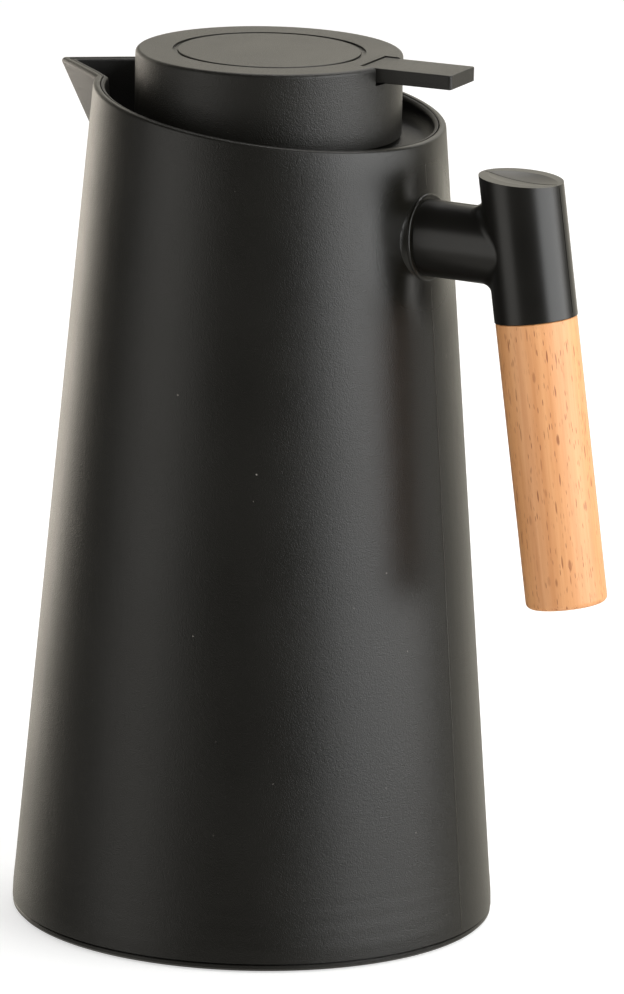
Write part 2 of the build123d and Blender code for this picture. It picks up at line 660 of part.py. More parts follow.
def stopper_body():
    """Screw-in stopper: nose with the valve seat, barrel, and windows near its top."""
    cup = revolved([
        (NOSE_IN_R, NOSE_BOTTOM),
        (NOSE_R - 0.8, NOSE_BOTTOM),
        (NOSE_R, NOSE_BOTTOM + 0.8),
        (NOSE_R, SHOULDER_TOP),
        (BARREL_R, SHOULDER_TOP),
        (BARREL_R, CARRIER_Z),
        (BARREL_IN_R, CARRIER_Z),
        (BARREL_IN_R, SHOULDER_TOP + 2.2),
        (NOSE_IN_R, SHOULDER_TOP + 2.2),
        (NOSE_IN_R, FLOOR_Z + FLOOR_T),
        (SEAT_RING_R, FLOOR_Z + FLOOR_T),
        (SEAT_RING_R - 0.3, SEAT_RING_TOP),
        (VALVE_HOLE_R, SEAT_RING_TOP),
        (VALVE_HOLE_R, FLOOR_Z),
        (NOSE_IN_R, FLOOR_Z),
    ])
    boss = disc(FIXING_BOSS_R, SHOULDER_TOP + 2.0, CARRIER_Z, x=FIXING_R)
    for one in around(boss, 3):
        cup += one
    windows = tube(BARREL_R + 1, NOSE_IN_R, BARREL_TOP, CARRIER_Z - WINDOW_BAR)
    post = block(0, BARREL_R + 2, -POST_W / 2, POST_W / 2, BARREL_TOP - 1, CARRIER_Z)
    for one in around(post, POSTS):
        windows -= one
    for one in around(boss, 3):
        windows -= one
    cup -= windows
    hole = disc(FIXING_SCREW_R + FIT, CARRIER_Z - FIXING_LENGTH, CARRIER_Z + 1, x=FIXING_R)
    for one in around(hole, 3):
        cup -= one
    return cup


def stopper_seal():
    """Soft ring under the stopper's shoulder, with two lips."""
    r_in, r_out = SEAL_R
    z0, z1 = SEAL_Z
    return revolved([
        (r_in, z0), (r_out - 0.5, z0), (r_out, z0 + 0.5), (r_out - 0.6, (z0 + z1) / 2),
        (r_out, z1 - 0.5), (r_out - 0.5, z1), (r_in, z1),
    ])


def mechanism_carrier():
    """Plate over the stopper with the stem guide and the ears of the lever pin."""
    top = CARRIER_Z + CARRIER_T
    plate = revolved([
        (STEM_R + STEM_RUN, GUIDE_BOTTOM),
        (GUIDE_R, GUIDE_BOTTOM),
        (GUIDE_R, CARRIER_Z),
        (CARRIER_R - 0.5, CARRIER_Z),
        (CARRIER_R, CARRIER_Z + 0.5),
        (CARRIER_R, top + 2.2),
        (CARRIER_R - 1.6, top + 2.2),
        (CARRIER_R - 1.6, top),
        (STEM_R + STEM_RUN, top),
    ])
    plate -= disc(ORING_R + FIT, GUIDE_BOTTOM - 1, ORING_Z[1])
    for side in (-1, 1):
        y0, y1 = sorted((side * EAR_Y, side * (EAR_Y + EAR_W)))
        ear = side_profile([
            (PIVOT_X - 8.0, top - 0.5), (PIVOT_X + 1.5, top - 0.5),
            (PIVOT_X + EAR_R, PIVOT_Z), (PIVOT_X - EAR_R, PIVOT_Z),
        ], 20)
        ear += rod_y(EAR_R, 40, PIVOT_X, PIVOT_Z)
        ear &= block(0, LID_R, y0, y1, CARRIER_Z, LID_TOP)
        plate += ear - rod_y(PIN_R + 0.02, 40, PIVOT_X, PIVOT_Z)
    hole = disc(FIXING_SCREW_R + FIT, CARRIER_Z - 1, top + 1, x=FIXING_R)
    for one in around(hole, 3):
        plate -= one
    return plate


def carrier_screws():
    """Three screws that hold the carrier on the stopper."""
    top = CARRIER_Z + CARRIER_T
    head = disc(FIXING_HEAD_R, top, top + 1.8, x=FIXING_R)
    head = fillet(head.edges().sort_by(Axis.Z)[-1], 0.6)
    shank = disc(FIXING_SCREW_R, CARRIER_Z - FIXING_LENGTH + 1, top, x=FIXING_R)
    recess = block(FIXING_R - 1.5, FIXING_R + 1.5, -0.4, 0.4, top + 0.9, top + 3)
    return around(head + shank - recess, 3)


def lid_cap():
    """Round cap with the sunk seat of its disc and the notch for the lever."""
    inner_r = LID_R - LID_WALL
    cap = revolved([
        (inner_r, LID_BOTTOM),
        (LID_R, LID_BOTTOM),
        (LID_R, LID_TOP),
        (GROOVE_OUT_R, LID_TOP),
        (GROOVE_OUT_R, LID_TOP - GROOVE_DEPTH),
        (DISC_R + 0.1, LID_TOP - GROOVE_DEPTH),
        (DISC_R + 0.1, LID_TOP - DISC_T),
        (0, LID_TOP - DISC_T),
        (0, LID_TOP - LID_TOP_T),
        (inner_r, LID_TOP - LID_TOP_T),
        (inner_r, BEAD_Z[1]),
        (inner_r - BEAD_DEPTH, (BEAD_Z[0] + BEAD_Z[1]) / 2),
        (inner_r, BEAD_Z[0]),
    ])
    for z, r in ((LID_TOP, LID_EDGE_R), (LID_BOTTOM, 0.4)):
        rims = cap.edges().filter_by(GeomType.CIRCLE)
        edge = [e for e in rims if abs(e.radius - LID_R) + abs(e.center().Z - z) < 0.01]
        cap = fillet(edge, r)
    notch = block(NOTCH_IN_X, LID_R + 5, -NOTCH_W / 2, NOTCH_W / 2, NOTCH_BOTTOM, LID_TOP + 1)
    cap -= notch
    spring_seat = tube(SPRING_R - 1.0, SPRING_R - 2.0, LID_TOP - LID_TOP_T - 1.2,
                       LID_TOP - LID_TOP_T + 0.5)
    return cap + spring_seat


def lid_disc():
    """Flush disc let into the cap, with the fine groove left round it."""
    plate = disc(DISC_R, LID_TOP - DISC_T, LID_TOP)
    return fillet(plate.edges().sort_by(Axis.Z)[-1], 0.25)


def thumb_lever():
    """Flat thumb plate, hinged hub and the forked tail that lifts the valve."""
    bottom = LEVER_TOP - LEVER_T
    plate = block(LEVER_IN_X, LEVER_END_X, -LEVER_W / 2, LEVER_W / 2, bottom, LEVER_TOP)
    ends = plate.edges().filter_by(Axis.Z).sort_by(Axis.X)[-2:]
    plate = fillet(ends, LEVER_CORNER_R)
    top_edges = plate.faces().sort_by(Axis.Z)[-1].edges()
    bottom_edges = plate.faces().sort_by(Axis.Z)[0].edges()
    plate = fillet(top_edges + bottom_edges, 0.3)
    web = block(PIVOT_X - HUB_R, PIVOT_X + HUB_R - 0.2, -HUB_W / 2, HUB_W / 2,
                PIVOT_Z, bottom + 1)
    web &= block(LEVER_IN_X, LEVER_END_X, -HUB_W, HUB_W, CARRIER_Z, LID_TOP)
    hub = rod_y(HUB_R, HUB_W, PIVOT_X, PIVOT_Z)
    pad_z = FORK_TOP - FORK_PAD_R
    tail = side_profile([
        (PIVOT_X - 1.0, PIVOT_Z + 1.8),
        (PIVOT_X - 2.0, PIVOT_Z - 2.2),
        (14.0, pad_z - 1.1),
        (-1.5, pad_z - 1.2),
        (-1.5, pad_z + 1.0),
        (14.0, pad_z + 2.3),
    ], TINE_Y[1])
    waist = block(11.0, PIVOT_X + 1, TAIL_W / 2, HUB_W, CARRIER_Z, LID_TOP)
    tail -= waist
    tail -= mirror(waist, about=Plane.XZ)
    fork_pad = rod_y(FORK_PAD_R, 2 * TINE_Y[1], 0, pad_z)
    fork_pad &= block(-4, 4, -7, 7, pad_z - 1.2, LID_TOP)
    lever = plate + web + hub + tail + fork_pad
    slot = block(-10, 6.5, -TINE_Y[0], TINE_Y[0], CARRIER_Z, PIVOT_Z)
    slot += disc(TINE_Y[0], CARRIER_Z, PIVOT_Z, x=6.5)
    lever -= slot
    return lever - rod_y(PIN_R + PIN_RUN, 40, PIVOT_X, PIVOT_Z)


def lever_pin():
    """Hinge pin of the thumb lever."""
    pin = rod_y(PIN_R, PIN_LENGTH, PIVOT_X, PIVOT_Z)
    return chamfer(pin.edges().filter_by(GeomType.CIRCLE), 0.3)


def valve_stem():
    """Steel stem with a shoulder for the lifting collar and a groove for its clip."""
    clip_z = COLLAR_SEAT + LIFT_COLLAR_T
    return revolved([
        (0, VALVE_SEAL_Z[1] + 0.2),
        (STEM_R, VALVE_SEAL_Z[1] + 0.2),
        (STEM_R, COLLAR_SEAT),
        (STEM_NECK_R, COLLAR_SEAT),
        (STEM_NECK_R, clip_z),
        (STEM_NECK_R - 0.4, clip_z),
        (STEM_NECK_R - 0.4, clip_z + CLIP_T),
        (STEM_NECK_R, clip_z + CLIP_T),
        (STEM_NECK_R, STEM_TOP - 0.4),
        (STEM_NECK_R - 0.4, STEM_TOP),
        (0, STEM_TOP),
    ])


def valve_head():
    """Plate that covers the valve seat, moulded round the foot of the stem."""
    low = VALVE_SEAL_Z[1]
    head = revolved([
        (0, low), (VALVE_HEAD_R, low), (VALVE_HEAD_R, low + 1.4),
        (VALVE_HEAD_R - 0.8, low + 2.0), (6.0, VALVE_HEAD_TOP), (4.5, VALVE_HEAD_TOP + 5),
        (0, VALVE_HEAD_TOP + 5),
    ])
    return head - disc(STEM_R, low + 0.2, VALVE_HEAD_TOP + 6)


def valve_seal():
    """Soft facing of the valve head."""
    return tube(VALVE_SEAL_R, VALVE_HOLE_R - 4.0, *VALVE_SEAL_Z)


def lift_collar():
    """Washer that the fork lifts and the spring presses on."""
    return tube(LIFT_COLLAR_R, STEM_NECK_R + FIT, COLLAR_SEAT, COLLAR_SEAT + LIFT_COLLAR_T)


def stem_clip():
    """Open clip in the stem's groove, above the lifting collar."""
    z0 = COLLAR_SEAT + LIFT_COLLAR_T
    clip = tube(CLIP_R, STEM_NECK_R - 0.4 + FIT, z0, z0 + CLIP_T - 0.02)
    return clip - block(0, 6, -1.2, 1.2, z0 - 1, z0 + 2)


def stem_ring():
    """Soft ring that wipes the stem below the guide."""
    z0, z1 = ORING_Z
    r_in = STEM_R + STEM_RUN
    ring = tube(ORING_R, r_in, z0, z1)
    return fillet(ring.edges().filter_by(GeomType.CIRCLE), 0.45)


def valve_spring():
    """Closing spring between the lifting collar and the roof of the cap."""
    z0 = COLLAR_SEAT + LIFT_COLLAR_T + SPRING_WIRE_R + 0.03
    z1 = LID_TOP - LID_TOP_T - SPRING_WIRE_R - 0.03
    path = Pos(0, 0, z0) * Helix(pitch=(z1 - z0) / SPRING_TURNS, height=z1 - z0, radius=SPRING_R)
    section = Plane(origin=path @ 0, z_dir=path % 0) * Circle(SPRING_WIRE_R)
    wire = sweep(section, path=path, is_frenet=True)
    pitch = (z1 - z0) / SPRING_TURNS
    print("valve spring: gap between turns %.2f mm" % (pitch - 2 * SPRING_WIRE_R))
    return wire


def save(name, shapes, turn=0.0):
    """Write one node, turned about Z with the lid where it belongs to it."""
    if not isinstance(shapes, list):
        shapes = [shapes]
    solids = []
    for shape in shapes:
        solids += (Rot(0, 0, turn) * shape).solids()
    node = solids[0] if len(solids) == 1 else Compound(children=solids)
    export_step(node, "parts/" + name + ".step")
    volume = sum(s.volume for s in solids)
    print("%-20s %d solid(s) %10.1f mm3" % (name, len(solids), volume))


save("outer_shell", outer_shell())
save("pouring_collar", pouring_collar())
save("neck_ring", neck_ring())
save("neck_gasket", neck_gasket())
save("inner_bottle", inner_bottle())
save("outer_bottle", outer_bottle())
save("liner_spacers", liner_spacers())
save("base_plate", base_plate())
save("base_pad", base_pad())
save("base_cushion", base_cushion())
save("arm_bracket", arm_bracket())
save("arm_backing_plate", backing_plate())
save("arm_screws", arm_screws())
save("arm_inserts", arm_inserts())
save("wooden_grip", wooden_grip())
save("grip_stud", grip_stud())
save("head_insert", stud_insert(-HEAD_BELOW))
save("grip_insert", stud_insert(GRIP_TOP_S - INSERT_LENGTH))
save("stopper_body", stopper_body(), LID_TURN)
save("stopper_seal", stopper_seal())
save("mechanism_carrier", mechanism_carrier(), LID_TURN)
save("carrier_screws", carrier_screws(), LID_TURN)
save("lid_cap", lid_cap(), LID_TURN)
save("lid_disc", lid_disc(), LID_TURN)
save("thumb_lever", thumb_lever(), LID_TURN)
save("lever_pin", lever_pin(), LID_TURN)
save("valve_stem", valve_stem(), LID_TURN)
save("valve_head", valve_head(), LID_TURN)
save("valve_seal", valve_seal(), LID_TURN)
save("lift_collar", lift_collar(), LID_TURN)
save("stem_clip", stem_clip(), LID_TURN)
save("stem_ring", stem_ring(), LID_TURN)
save("valve_spring", valve_spring(), LID_TURN)
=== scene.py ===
import math

import bmesh
import bpy
from bpy.props import FloatProperty, FloatVectorProperty, IntProperty, PointerProperty
from mathutils import Matrix, Vector
from mathutils.bvhtree import BVHTree


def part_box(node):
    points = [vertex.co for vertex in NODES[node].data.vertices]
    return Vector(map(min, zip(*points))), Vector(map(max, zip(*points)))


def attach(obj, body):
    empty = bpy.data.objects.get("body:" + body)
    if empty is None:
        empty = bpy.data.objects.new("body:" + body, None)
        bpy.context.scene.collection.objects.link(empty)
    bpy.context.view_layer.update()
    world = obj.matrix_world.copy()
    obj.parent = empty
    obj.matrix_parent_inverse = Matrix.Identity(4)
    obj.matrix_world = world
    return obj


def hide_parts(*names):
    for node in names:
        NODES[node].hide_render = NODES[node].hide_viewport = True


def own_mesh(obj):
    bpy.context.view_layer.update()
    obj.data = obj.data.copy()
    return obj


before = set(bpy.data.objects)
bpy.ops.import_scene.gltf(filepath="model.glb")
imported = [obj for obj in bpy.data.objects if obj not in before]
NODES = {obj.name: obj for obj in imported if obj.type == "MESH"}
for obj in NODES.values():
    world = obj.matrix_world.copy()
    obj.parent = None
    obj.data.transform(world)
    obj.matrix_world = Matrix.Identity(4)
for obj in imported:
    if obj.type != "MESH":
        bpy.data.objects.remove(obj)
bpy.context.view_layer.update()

bl_info = {
    "name": "Thermal Carafe Finish",
    "version": (1, 0, 0),
    "blender": (4, 5, 0),
    "location": "View3D > Sidebar > Carafe",
    "description": "Finishes, moulded details, threads and studio for a thermal carafe",
    "category": "Object",
}

MM = 0.001

# Places on the carafe
ARM_Z = 221.5 * MM                     # height of the arm's axis at the housing
ARM_CLEAR_R = 15.5 * MM                # the housing's seams stay this far from that axis
SEAM_TOP_Z = 244 * MM                  # upper end of the housing's seam, close under the rim
SEAM_MARGIN = 0.6 * MM                 # seams stop this short of an edge
SEAT_MARGIN = 6 * MM                   # the arm's parting line starts this far from its seat
CORNER_MARGIN = 4 * MM                 # and turns down this far under the top of the head
SPOT_R = (17 * MM, 34 * MM)            # the smooth spot round the arm's foot fades out here
RINGS_BEGIN = (4 * MM, 7 * MM)         # shrinkage rings fade in between these heights
RINGS_END = (28 * MM, 20 * MM)         # and out again between these
SAME_PLACE = 0.01 * MM                 # corners this near each other meet

# Rays that look for a surface start well outside the carafe
RAY_X = 0.2
RAY_Z = 0.4

# The stage
FLOOR_Z = -0.05 * MM       # just clear of the foot, so that no two faces coincide
FLOOR_R = 9.0
LIGHT_AIM_Z = 0.14         # the soft lights point at the carafe's middle


# Sizes and colours

class CarafePlastics(bpy.types.PropertyGroup):
    housing_colour: FloatVectorProperty(
        name="Housing", description="Colour of the satin housing", subtype="COLOR",
        size=3, default=(0.0050, 0.0046, 0.0034), min=0.0, max=1.0)
    lid_colour: FloatVectorProperty(
        name="Lid", description="Colour of the lid and its lever", subtype="COLOR",
        size=3, default=(0.0062, 0.0057, 0.0043), min=0.0, max=1.0)
    arm_colour: FloatVectorProperty(
        name="Arm", description="Colour of the arm and its head", subtype="COLOR",
        size=3, default=(0.0048, 0.0044, 0.0036), min=0.0, max=1.0)
    grain_size: FloatProperty(
        name="Grain Size", description="Width of one grain of the eroded mould surface",
        unit="LENGTH", default=0.36 * MM, min=0.05 * MM, max=5 * MM)
    grain_depth: FloatProperty(
        name="Grain Depth", description="Depth of the grain on the housing",
        unit="LENGTH", default=0.11 * MM, min=0.0, max=1 * MM)
    speck_spacing: FloatProperty(
        name="Speck Spacing", description="Mean distance between specks of dust",
        unit="LENGTH", default=5.0 * MM, min=1 * MM, max=100 * MM)
    dust_colour: FloatVectorProperty(
        name="Dust", description="Colour of the specks on the black plastic", subtype="COLOR",
        size=3, default=(0.30, 0.28, 0.25), min=0.0, max=1.0)
    ring_pitch: FloatProperty(
        name="Ring Pitch", description="Distance between shrinkage rings above the foot",
        unit="LENGTH", default=5.5 * MM, min=1 * MM, max=30 * MM)


class CarafeWood(bpy.types.PropertyGroup):
    light_colour: FloatVectorProperty(
        name="Light Wood", description="Beech between the dark years", subtype="COLOR",
        size=3, default=(0.74, 0.385, 0.170), min=0.0, max=1.0)
    dark_colour: FloatVectorProperty(
        name="Dark Wood", description="Beech in the dark years", subtype="COLOR",
        size=3, default=(0.57, 0.245, 0.088), min=0.0, max=1.0)
    fleck_colour: FloatVectorProperty(
        name="Flecks", description="Short dark rays of beech", subtype="COLOR",
        size=3, default=(0.26, 0.075, 0.018), min=0.0, max=1.0)
    fleck_length: FloatProperty(
        name="Fleck Length", description="Length of a fleck along the grain",
        unit="LENGTH", default=3.2 * MM, min=0.2 * MM, max=20 * MM)
    axis_x: FloatProperty(
        name="Axis Distance", description="Distance of the handle axis at its datum height",
        unit="LENGTH", default=92.25 * MM)
    axis_z: FloatProperty(
        name="Axis Height", description="Datum height of the handle axis",
        unit="LENGTH", default=220 * MM)
    tilt: FloatProperty(
        name="Tilt", description="How far the handle's lower end leans outwards",
        subtype="ANGLE", default=math.radians(8.7))


class CarafeSeams(bpy.types.PropertyGroup):
    width: FloatProperty(
        name="Seam Width", description="Width of a mould seam",
        unit="LENGTH", default=0.36 * MM, min=0.02 * MM, max=2 * MM)
    rise: FloatProperty(
        name="Seam Rise", description="How far a mould seam stands off the surface",
        unit="LENGTH", default=0.08 * MM, min=0.0, max=1 * MM)
    spacing: FloatProperty(
        name="Seam Step", description="Distance between two points of a seam",
        unit="LENGTH", default=0.8 * MM, min=0.1 * MM, max=20 * MM)


class CarafeThreads(bpy.types.PropertyGroup):
    starts: IntProperty(
        name="Starts", description="Number of separate ridges", default=2, min=1, max=6)
    start_angle: FloatProperty(
        name="Start Angle", description="Direction in which the first ridge starts",
        subtype="ANGLE", default=0.3)
    lead: FloatProperty(
        name="Lead", description="Rise of the lid for one full turn",
        unit="LENGTH", default=8 * MM, min=1 * MM, max=30 * MM)
    width: FloatProperty(
        name="Ridge Width", description="Width of a thread ridge at its foot",
        unit="LENGTH", default=1.6 * MM, min=0.2 * MM, max=6 * MM)
    stopper_radius: FloatProperty(
        name="Stopper Radius", description="Radius of the stopper's wall under its ridges",
        unit="LENGTH", default=29.6 * MM, min=5 * MM, max=100 * MM)
    stopper_height: FloatProperty(
        name="Stopper Ridge Height", description="How far a ridge stands off the stopper",
        unit="LENGTH", default=1.1 * MM, min=0.05 * MM, max=3 * MM)
    stopper_foot: FloatProperty(
        name="Stopper Thread Foot", description="Height at which the stopper's ridges start",
        unit="LENGTH", default=236 * MM)
    stopper_turns: FloatProperty(
        name="Stopper Turns", description="Turns that a ridge of the stopper makes",
        default=0.95, min=0.1, max=4.0)
    neck_radius: FloatProperty(
        name="Neck Radius", description="Radius of the neck's bore at its ridges",
        unit="LENGTH", default=31 * MM, min=5 * MM, max=100 * MM)
    neck_height: FloatProperty(
        name="Neck Ridge Height", description="Height of the neck's ridges, clear of the seal",
        unit="LENGTH", default=0.24 * MM, min=0.05 * MM, max=3 * MM)
    neck_foot: FloatProperty(
        name="Neck Thread Foot", description="Height at which the neck's ridges start",
        unit="LENGTH", default=238 * MM)
    neck_turns: FloatProperty(
        name="Neck Turns", description="Turns that a ridge of the neck makes",
        default=0.8, min=0.1, max=4.0)


class CarafeStudio(bpy.types.PropertyGroup):
    azimuth: FloatProperty(
        name="Camera Azimuth", description="Direction the camera looks from",
        subtype="ANGLE", default=math.radians(29.2))
    elevation: FloatProperty(
        name="Camera Elevation", description="Height of the camera as an angle",
        subtype="ANGLE", default=math.radians(13.612))
    roll: FloatProperty(
        name="Camera Roll", description="Turn of the camera about its line of sight",
        subtype="ANGLE", default=math.radians(1.292))
    distance: FloatProperty(
        name="Camera Distance", description="Distance from the aiming point",
        unit="LENGTH", default=2.6749)
    lens: FloatProperty(
        name="Lens", description="Focal length in millimetres", default=311.4)
    aim_side: FloatProperty(
        name="Aim Side", description="Aiming point, to the right of the axis",
        unit="LENGTH", default=16.15 * MM)
    aim_height: FloatProperty(
        name="Aim Height", description="Height of the aiming point",
        unit="LENGTH", default=132.3 * MM)


# Shader node helpers

def feed(tree, socket, value):
    """Gives a socket a link, a number or a colour."""
    if isinstance(value, bpy.types.NodeSocket):
        tree.links.new(value, socket)
    elif isinstance(value, (int, float)):
        socket.default_value = value
    else:
        socket.default_value = (*value, 1.0)


def math_node(tree, operation, *values):
    """A Math node on links or numbers; gives its result."""
    node = tree.nodes.new("ShaderNodeMath")
    node.operation = operation
    for socket, value in zip(node.inputs, values):
        feed(tree, socket, value)
    return node.outputs[0]


def map_range(tree, value, low, high, to_low=0.0, to_high=1.0, smooth=True):
    """A clamped change of range; gives its result."""
    node = tree.nodes.new("ShaderNodeMapRange")
    node.interpolation_type = "SMOOTHSTEP" if smooth else "LINEAR"
    for name, number in (("Value", value), ("From Min", low), ("From Max", high),
                         ("To Min", to_low), ("To Max", to_high)):
        feed(tree, node.inputs[name], number)
    return node.outputs["Result"]


def mix_colour(tree, factor, a, b):
    """A colour mix of links or colours; gives its result."""
    node = tree.nodes.new("ShaderNodeMix")
    node.data_type = "RGBA"
    for index, value in ((0, factor), (6, a), (7, b)):
        feed(tree, node.inputs[index], value)
    return node.outputs[2]


def noise(tree, vector, scale, detail=2.0, roughness=0.5):
    """A noise texture on a vector; gives its value."""
    node = tree.nodes.new("ShaderNodeTexNoise")
    for name, value in (("Vector", vector), ("Scale", scale), ("Detail", detail),
                        ("Roughness", roughness)):
        feed(tree, node.inputs[name], value)
    return node.outputs["Fac"]


def stretched(tree, vector, scale):
    """Coordinates scaled along each axis."""
    node = tree.nodes.new("ShaderNodeMapping")
    node.inputs["Scale"].default_value = scale
    tree.links.new(vector, node.inputs["Vector"])
    return node.outputs["Vector"]


def nearness(tree, where, centre, inner, outer):
    """One within the inner distance of a point, falling to zero at the outer one."""
    node = tree.nodes.new("ShaderNodeVectorMath")
    node.operation = "DISTANCE"
    tree.links.new(where, node.inputs[0])
    node.inputs[1].default_value = centre
    return map_range(tree, node.outputs["Value"], outer, inner)


def shade(colour, factor, lift=0.0):
    """A colour made paler or darker."""
    return tuple(part * factor + lift for part in colour)


def new_group(name, inputs, outputs):
    """An empty shader node group with float and vector sockets."""
    tree = bpy.data.node_groups.new(name, "ShaderNodeTree")
    for label, kind, value in inputs:
        made = tree.interface.new_socket(label, in_out="INPUT", socket_type=kind)
        if value is not None:
            made.default_value = value
    for label, kind in outputs:
        tree.interface.new_socket(label, in_out="OUTPUT", socket_type=kind)
    return tree, tree.nodes.new("NodeGroupInput"), tree.nodes.new("NodeGroupOutput")


def use_group(tree, name, vector, **values):
    """Places a shared effect on the given coordinates; makes it the first time."""
    node = tree.nodes.new("ShaderNodeGroup")
    node.node_tree = bpy.data.node_groups.get(name) or EFFECTS[name]()
    tree.links.new(vector, node.inputs["Vector"])
    for key, value in values.items():
        node.inputs[key].default_value = value
    return node


# Shared effects

def grain_group():
    """Fine eroded grain of a moulded surface: a height and a slow change of gloss."""
    tree, given, out = new_group(
        "Mould grain",
        [("Vector", "NodeSocketVector", None), ("Size", "NodeSocketFloat", 0.5 * MM)],
        [("Height", "NodeSocketFloat"), ("Gloss", "NodeSocketFloat")])
    where = given.outputs["Vector"]
    scale = math_node(tree, "DIVIDE", 1.0, given.outputs["Size"])
    fine = noise(tree, where, scale, 1.0, 0.6)
    wide = noise(tree, where, math_node(tree, "MULTIPLY", scale, 0.37), 0.0)
    wide_share = math_node(tree, "MULTIPLY", wide, 0.15)
    height = math_node(tree, "MULTIPLY_ADD", fine, 0.85, wide_share)
    slow = noise(tree, where, 22.0, 3.0, 0.55)
    tree.links.new(height, out.inputs["Height"])
    tree.links.new(map_range(tree, slow, 0.3, 0.7), out.inputs["Gloss"])
    return tree


def dust_group():
    """Sparse pale specks of dust of many sizes: a mask."""
    tree, given, out = new_group(
        "Dust specks",
        [("Vector", "NodeSocketVector", None), ("Spacing", "NodeSocketFloat", 9 * MM),
         ("Speck", "NodeSocketFloat", 0.32 * MM)],
        [("Mask", "NodeSocketFloat")])
    cells = tree.nodes.new("ShaderNodeTexVoronoi")
    tree.links.new(given.outputs["Vector"], cells.inputs["Vector"])
    scale = math_node(tree, "DIVIDE", 1.0, given.outputs["Spacing"])
    tree.links.new(scale, cells.inputs["Scale"])
    pick = tree.nodes.new("ShaderNodeSeparateColor")
    tree.links.new(cells.outputs["Color"], pick.inputs["Color"])
    size = math_node(tree, "MULTIPLY", given.outputs["Speck"], scale)
    chosen = math_node(tree, "POWER", pick.outputs["Red"], 3.0)
    reach = math_node(tree, "MULTIPLY", size, chosen)
    mask = math_node(tree, "LESS_THAN", cells.outputs["Distance"], reach)
    tone = math_node(tree, "MULTIPLY", mask, pick.outputs["Green"])
    tree.links.new(tone, out.inputs["Mask"])
    return tree


def handling_group():
    """Faint soft marks where hands and cloths rub: a change of roughness."""
    tree, given, out = new_group(
        "Handling",
        [("Vector", "NodeSocketVector", None), ("Amount", "NodeSocketFloat", 0.04)],
        [("Roughness", "NodeSocketFloat")])
    smear = noise(tree, given.outputs["Vector"], 38.0, 4.0, 0.62)
    centred = math_node(tree, "SUBTRACT", smear, 0.5)
    span = math_node(tree, "MULTIPLY", given.outputs["Amount"], 2.0)
    tree.links.new(math_node(tree, "MULTIPLY", centred, span), out.inputs["Roughness"])
    return tree


EFFECTS = {
    "Mould grain": grain_group,
    "Dust specks": dust_group,
    "Handling": handling_group,
}


# Materials

def new_material(name):
    """A material with an empty tree, its Principled BSDF and object coordinates."""
    material = bpy.data.materials.new(name)
    material.use_nodes = True
    tree = material.node_tree
    tree.nodes.clear()
    output = tree.nodes.new("ShaderNodeOutputMaterial")
    shader = tree.nodes.new("ShaderNodeBsdfPrincipled")
    tree.links.new(shader.outputs["BSDF"], output.inputs["Surface"])
    coordinates = tree.nodes.new("ShaderNodeTexCoord")
    return material, tree, shader, coordinates.outputs["Object"]


def bump(tree, shader, height, depth):
    """Feeds a height to the shader's Normal."""
    node = tree.nodes.new("ShaderNodeBump")
    node.inputs["Distance"].default_value = depth
    node.inputs["Strength"].default_value = 1.0
    tree.links.new(height, node.inputs["Height"])
    tree.links.new(node.outputs["Normal"], shader.inputs["Normal"])


def dusted(tree, where, base, spacing, colour, amount):
    """A colour with pale specks of dust on it."""
    specks = use_group(tree, "Dust specks", where, Spacing=spacing)
    share = math_node(tree, "MULTIPLY", specks.outputs["Mask"], amount)
    return mix_colour(tree, share, base, colour)


def plastic(name, colour, roughness, grain_depth, dust=0.5, ripple=0.0, smooth_spot=None):
    """Black moulded plastic: grain, gloss changes, dust, faint rings and a smoother spot."""
    sizes = bpy.context.scene.carafe_plastics
    material, tree, shader, where = new_material(name)
    grain = use_group(tree, "Mould grain", where, Size=sizes.grain_size)
    rubbed = use_group(tree, "Handling", where, Amount=0.03)
    gloss, height = grain.outputs["Gloss"], grain.outputs["Height"]
    base = mix_colour(tree, gloss, colour, shade(colour, 1.3))
    dusty = dusted(tree, where, base, sizes.speck_spacing, sizes.dust_colour, dust)
    tree.links.new(dusty, shader.inputs["Base Color"])
    level = math_node(tree, "MULTIPLY_ADD", gloss, 0.04, roughness - 0.02)
    rough = math_node(tree, "ADD", level, rubbed.outputs["Roughness"])
    if smooth_spot:
        near = nearness(tree, where, smooth_spot, *SPOT_R)
        rough = math_node(tree, "MULTIPLY_ADD", near, -0.12, rough)
        flatter = math_node(tree, "MULTIPLY_ADD", near, -0.8, 1.0)
        height = math_node(tree, "MULTIPLY", height, flatter)
    tree.links.new(rough, shader.inputs["Roughness"])
    if ripple:
        rings = ripple_height(tree, where, sizes.ring_pitch, ripple)
        height = math_node(tree, "ADD", height, rings)
    bump(tree, shader, height, grain_depth)
    return material


def ripple_height(tree, where, pitch, amount):
    """Faint shrinkage rings just above the foot of the housing."""
    parts = tree.nodes.new("ShaderNodeSeparateXYZ")
    tree.links.new(where, parts.inputs["Vector"])
    z = parts.outputs["Z"]
    wave = math_node(tree, "SINE", math_node(tree, "MULTIPLY", z, 2 * math.pi / pitch))
    starting = map_range(tree, z, *RINGS_BEGIN)
    ending = map_range(tree, z, *RINGS_END)
    return math_node(tree, "MULTIPLY", math_node(tree, "MULTIPLY", starting, ending),
                     math_node(tree, "MULTIPLY", wave, amount))


def housing_finish(name):
    """Satin black of the housing, smoother round the foot of the arm."""
    sizes = bpy.context.scene.carafe_plastics
    low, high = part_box("arm_bracket")
    arm_foot = (low.x, 0.0, (low.z + high.z) / 2)
    return plastic(name, sizes.housing_colour, 0.35, sizes.grain_depth,
                   ripple=0.10, smooth_spot=arm_foot)


def dish_finish(name):
    """Duller black of the dish that runs round the lid."""
    sizes = bpy.context.scene.carafe_plastics
    return plastic(name, sizes.housing_colour, 0.50, sizes.grain_depth)


def lid_finish(name):
    """Satin black of the lid, a touch paler and with a deeper grain."""
    sizes = bpy.context.scene.carafe_plastics
    return plastic(name, sizes.lid_colour, 0.38, sizes.grain_depth * 1.5)


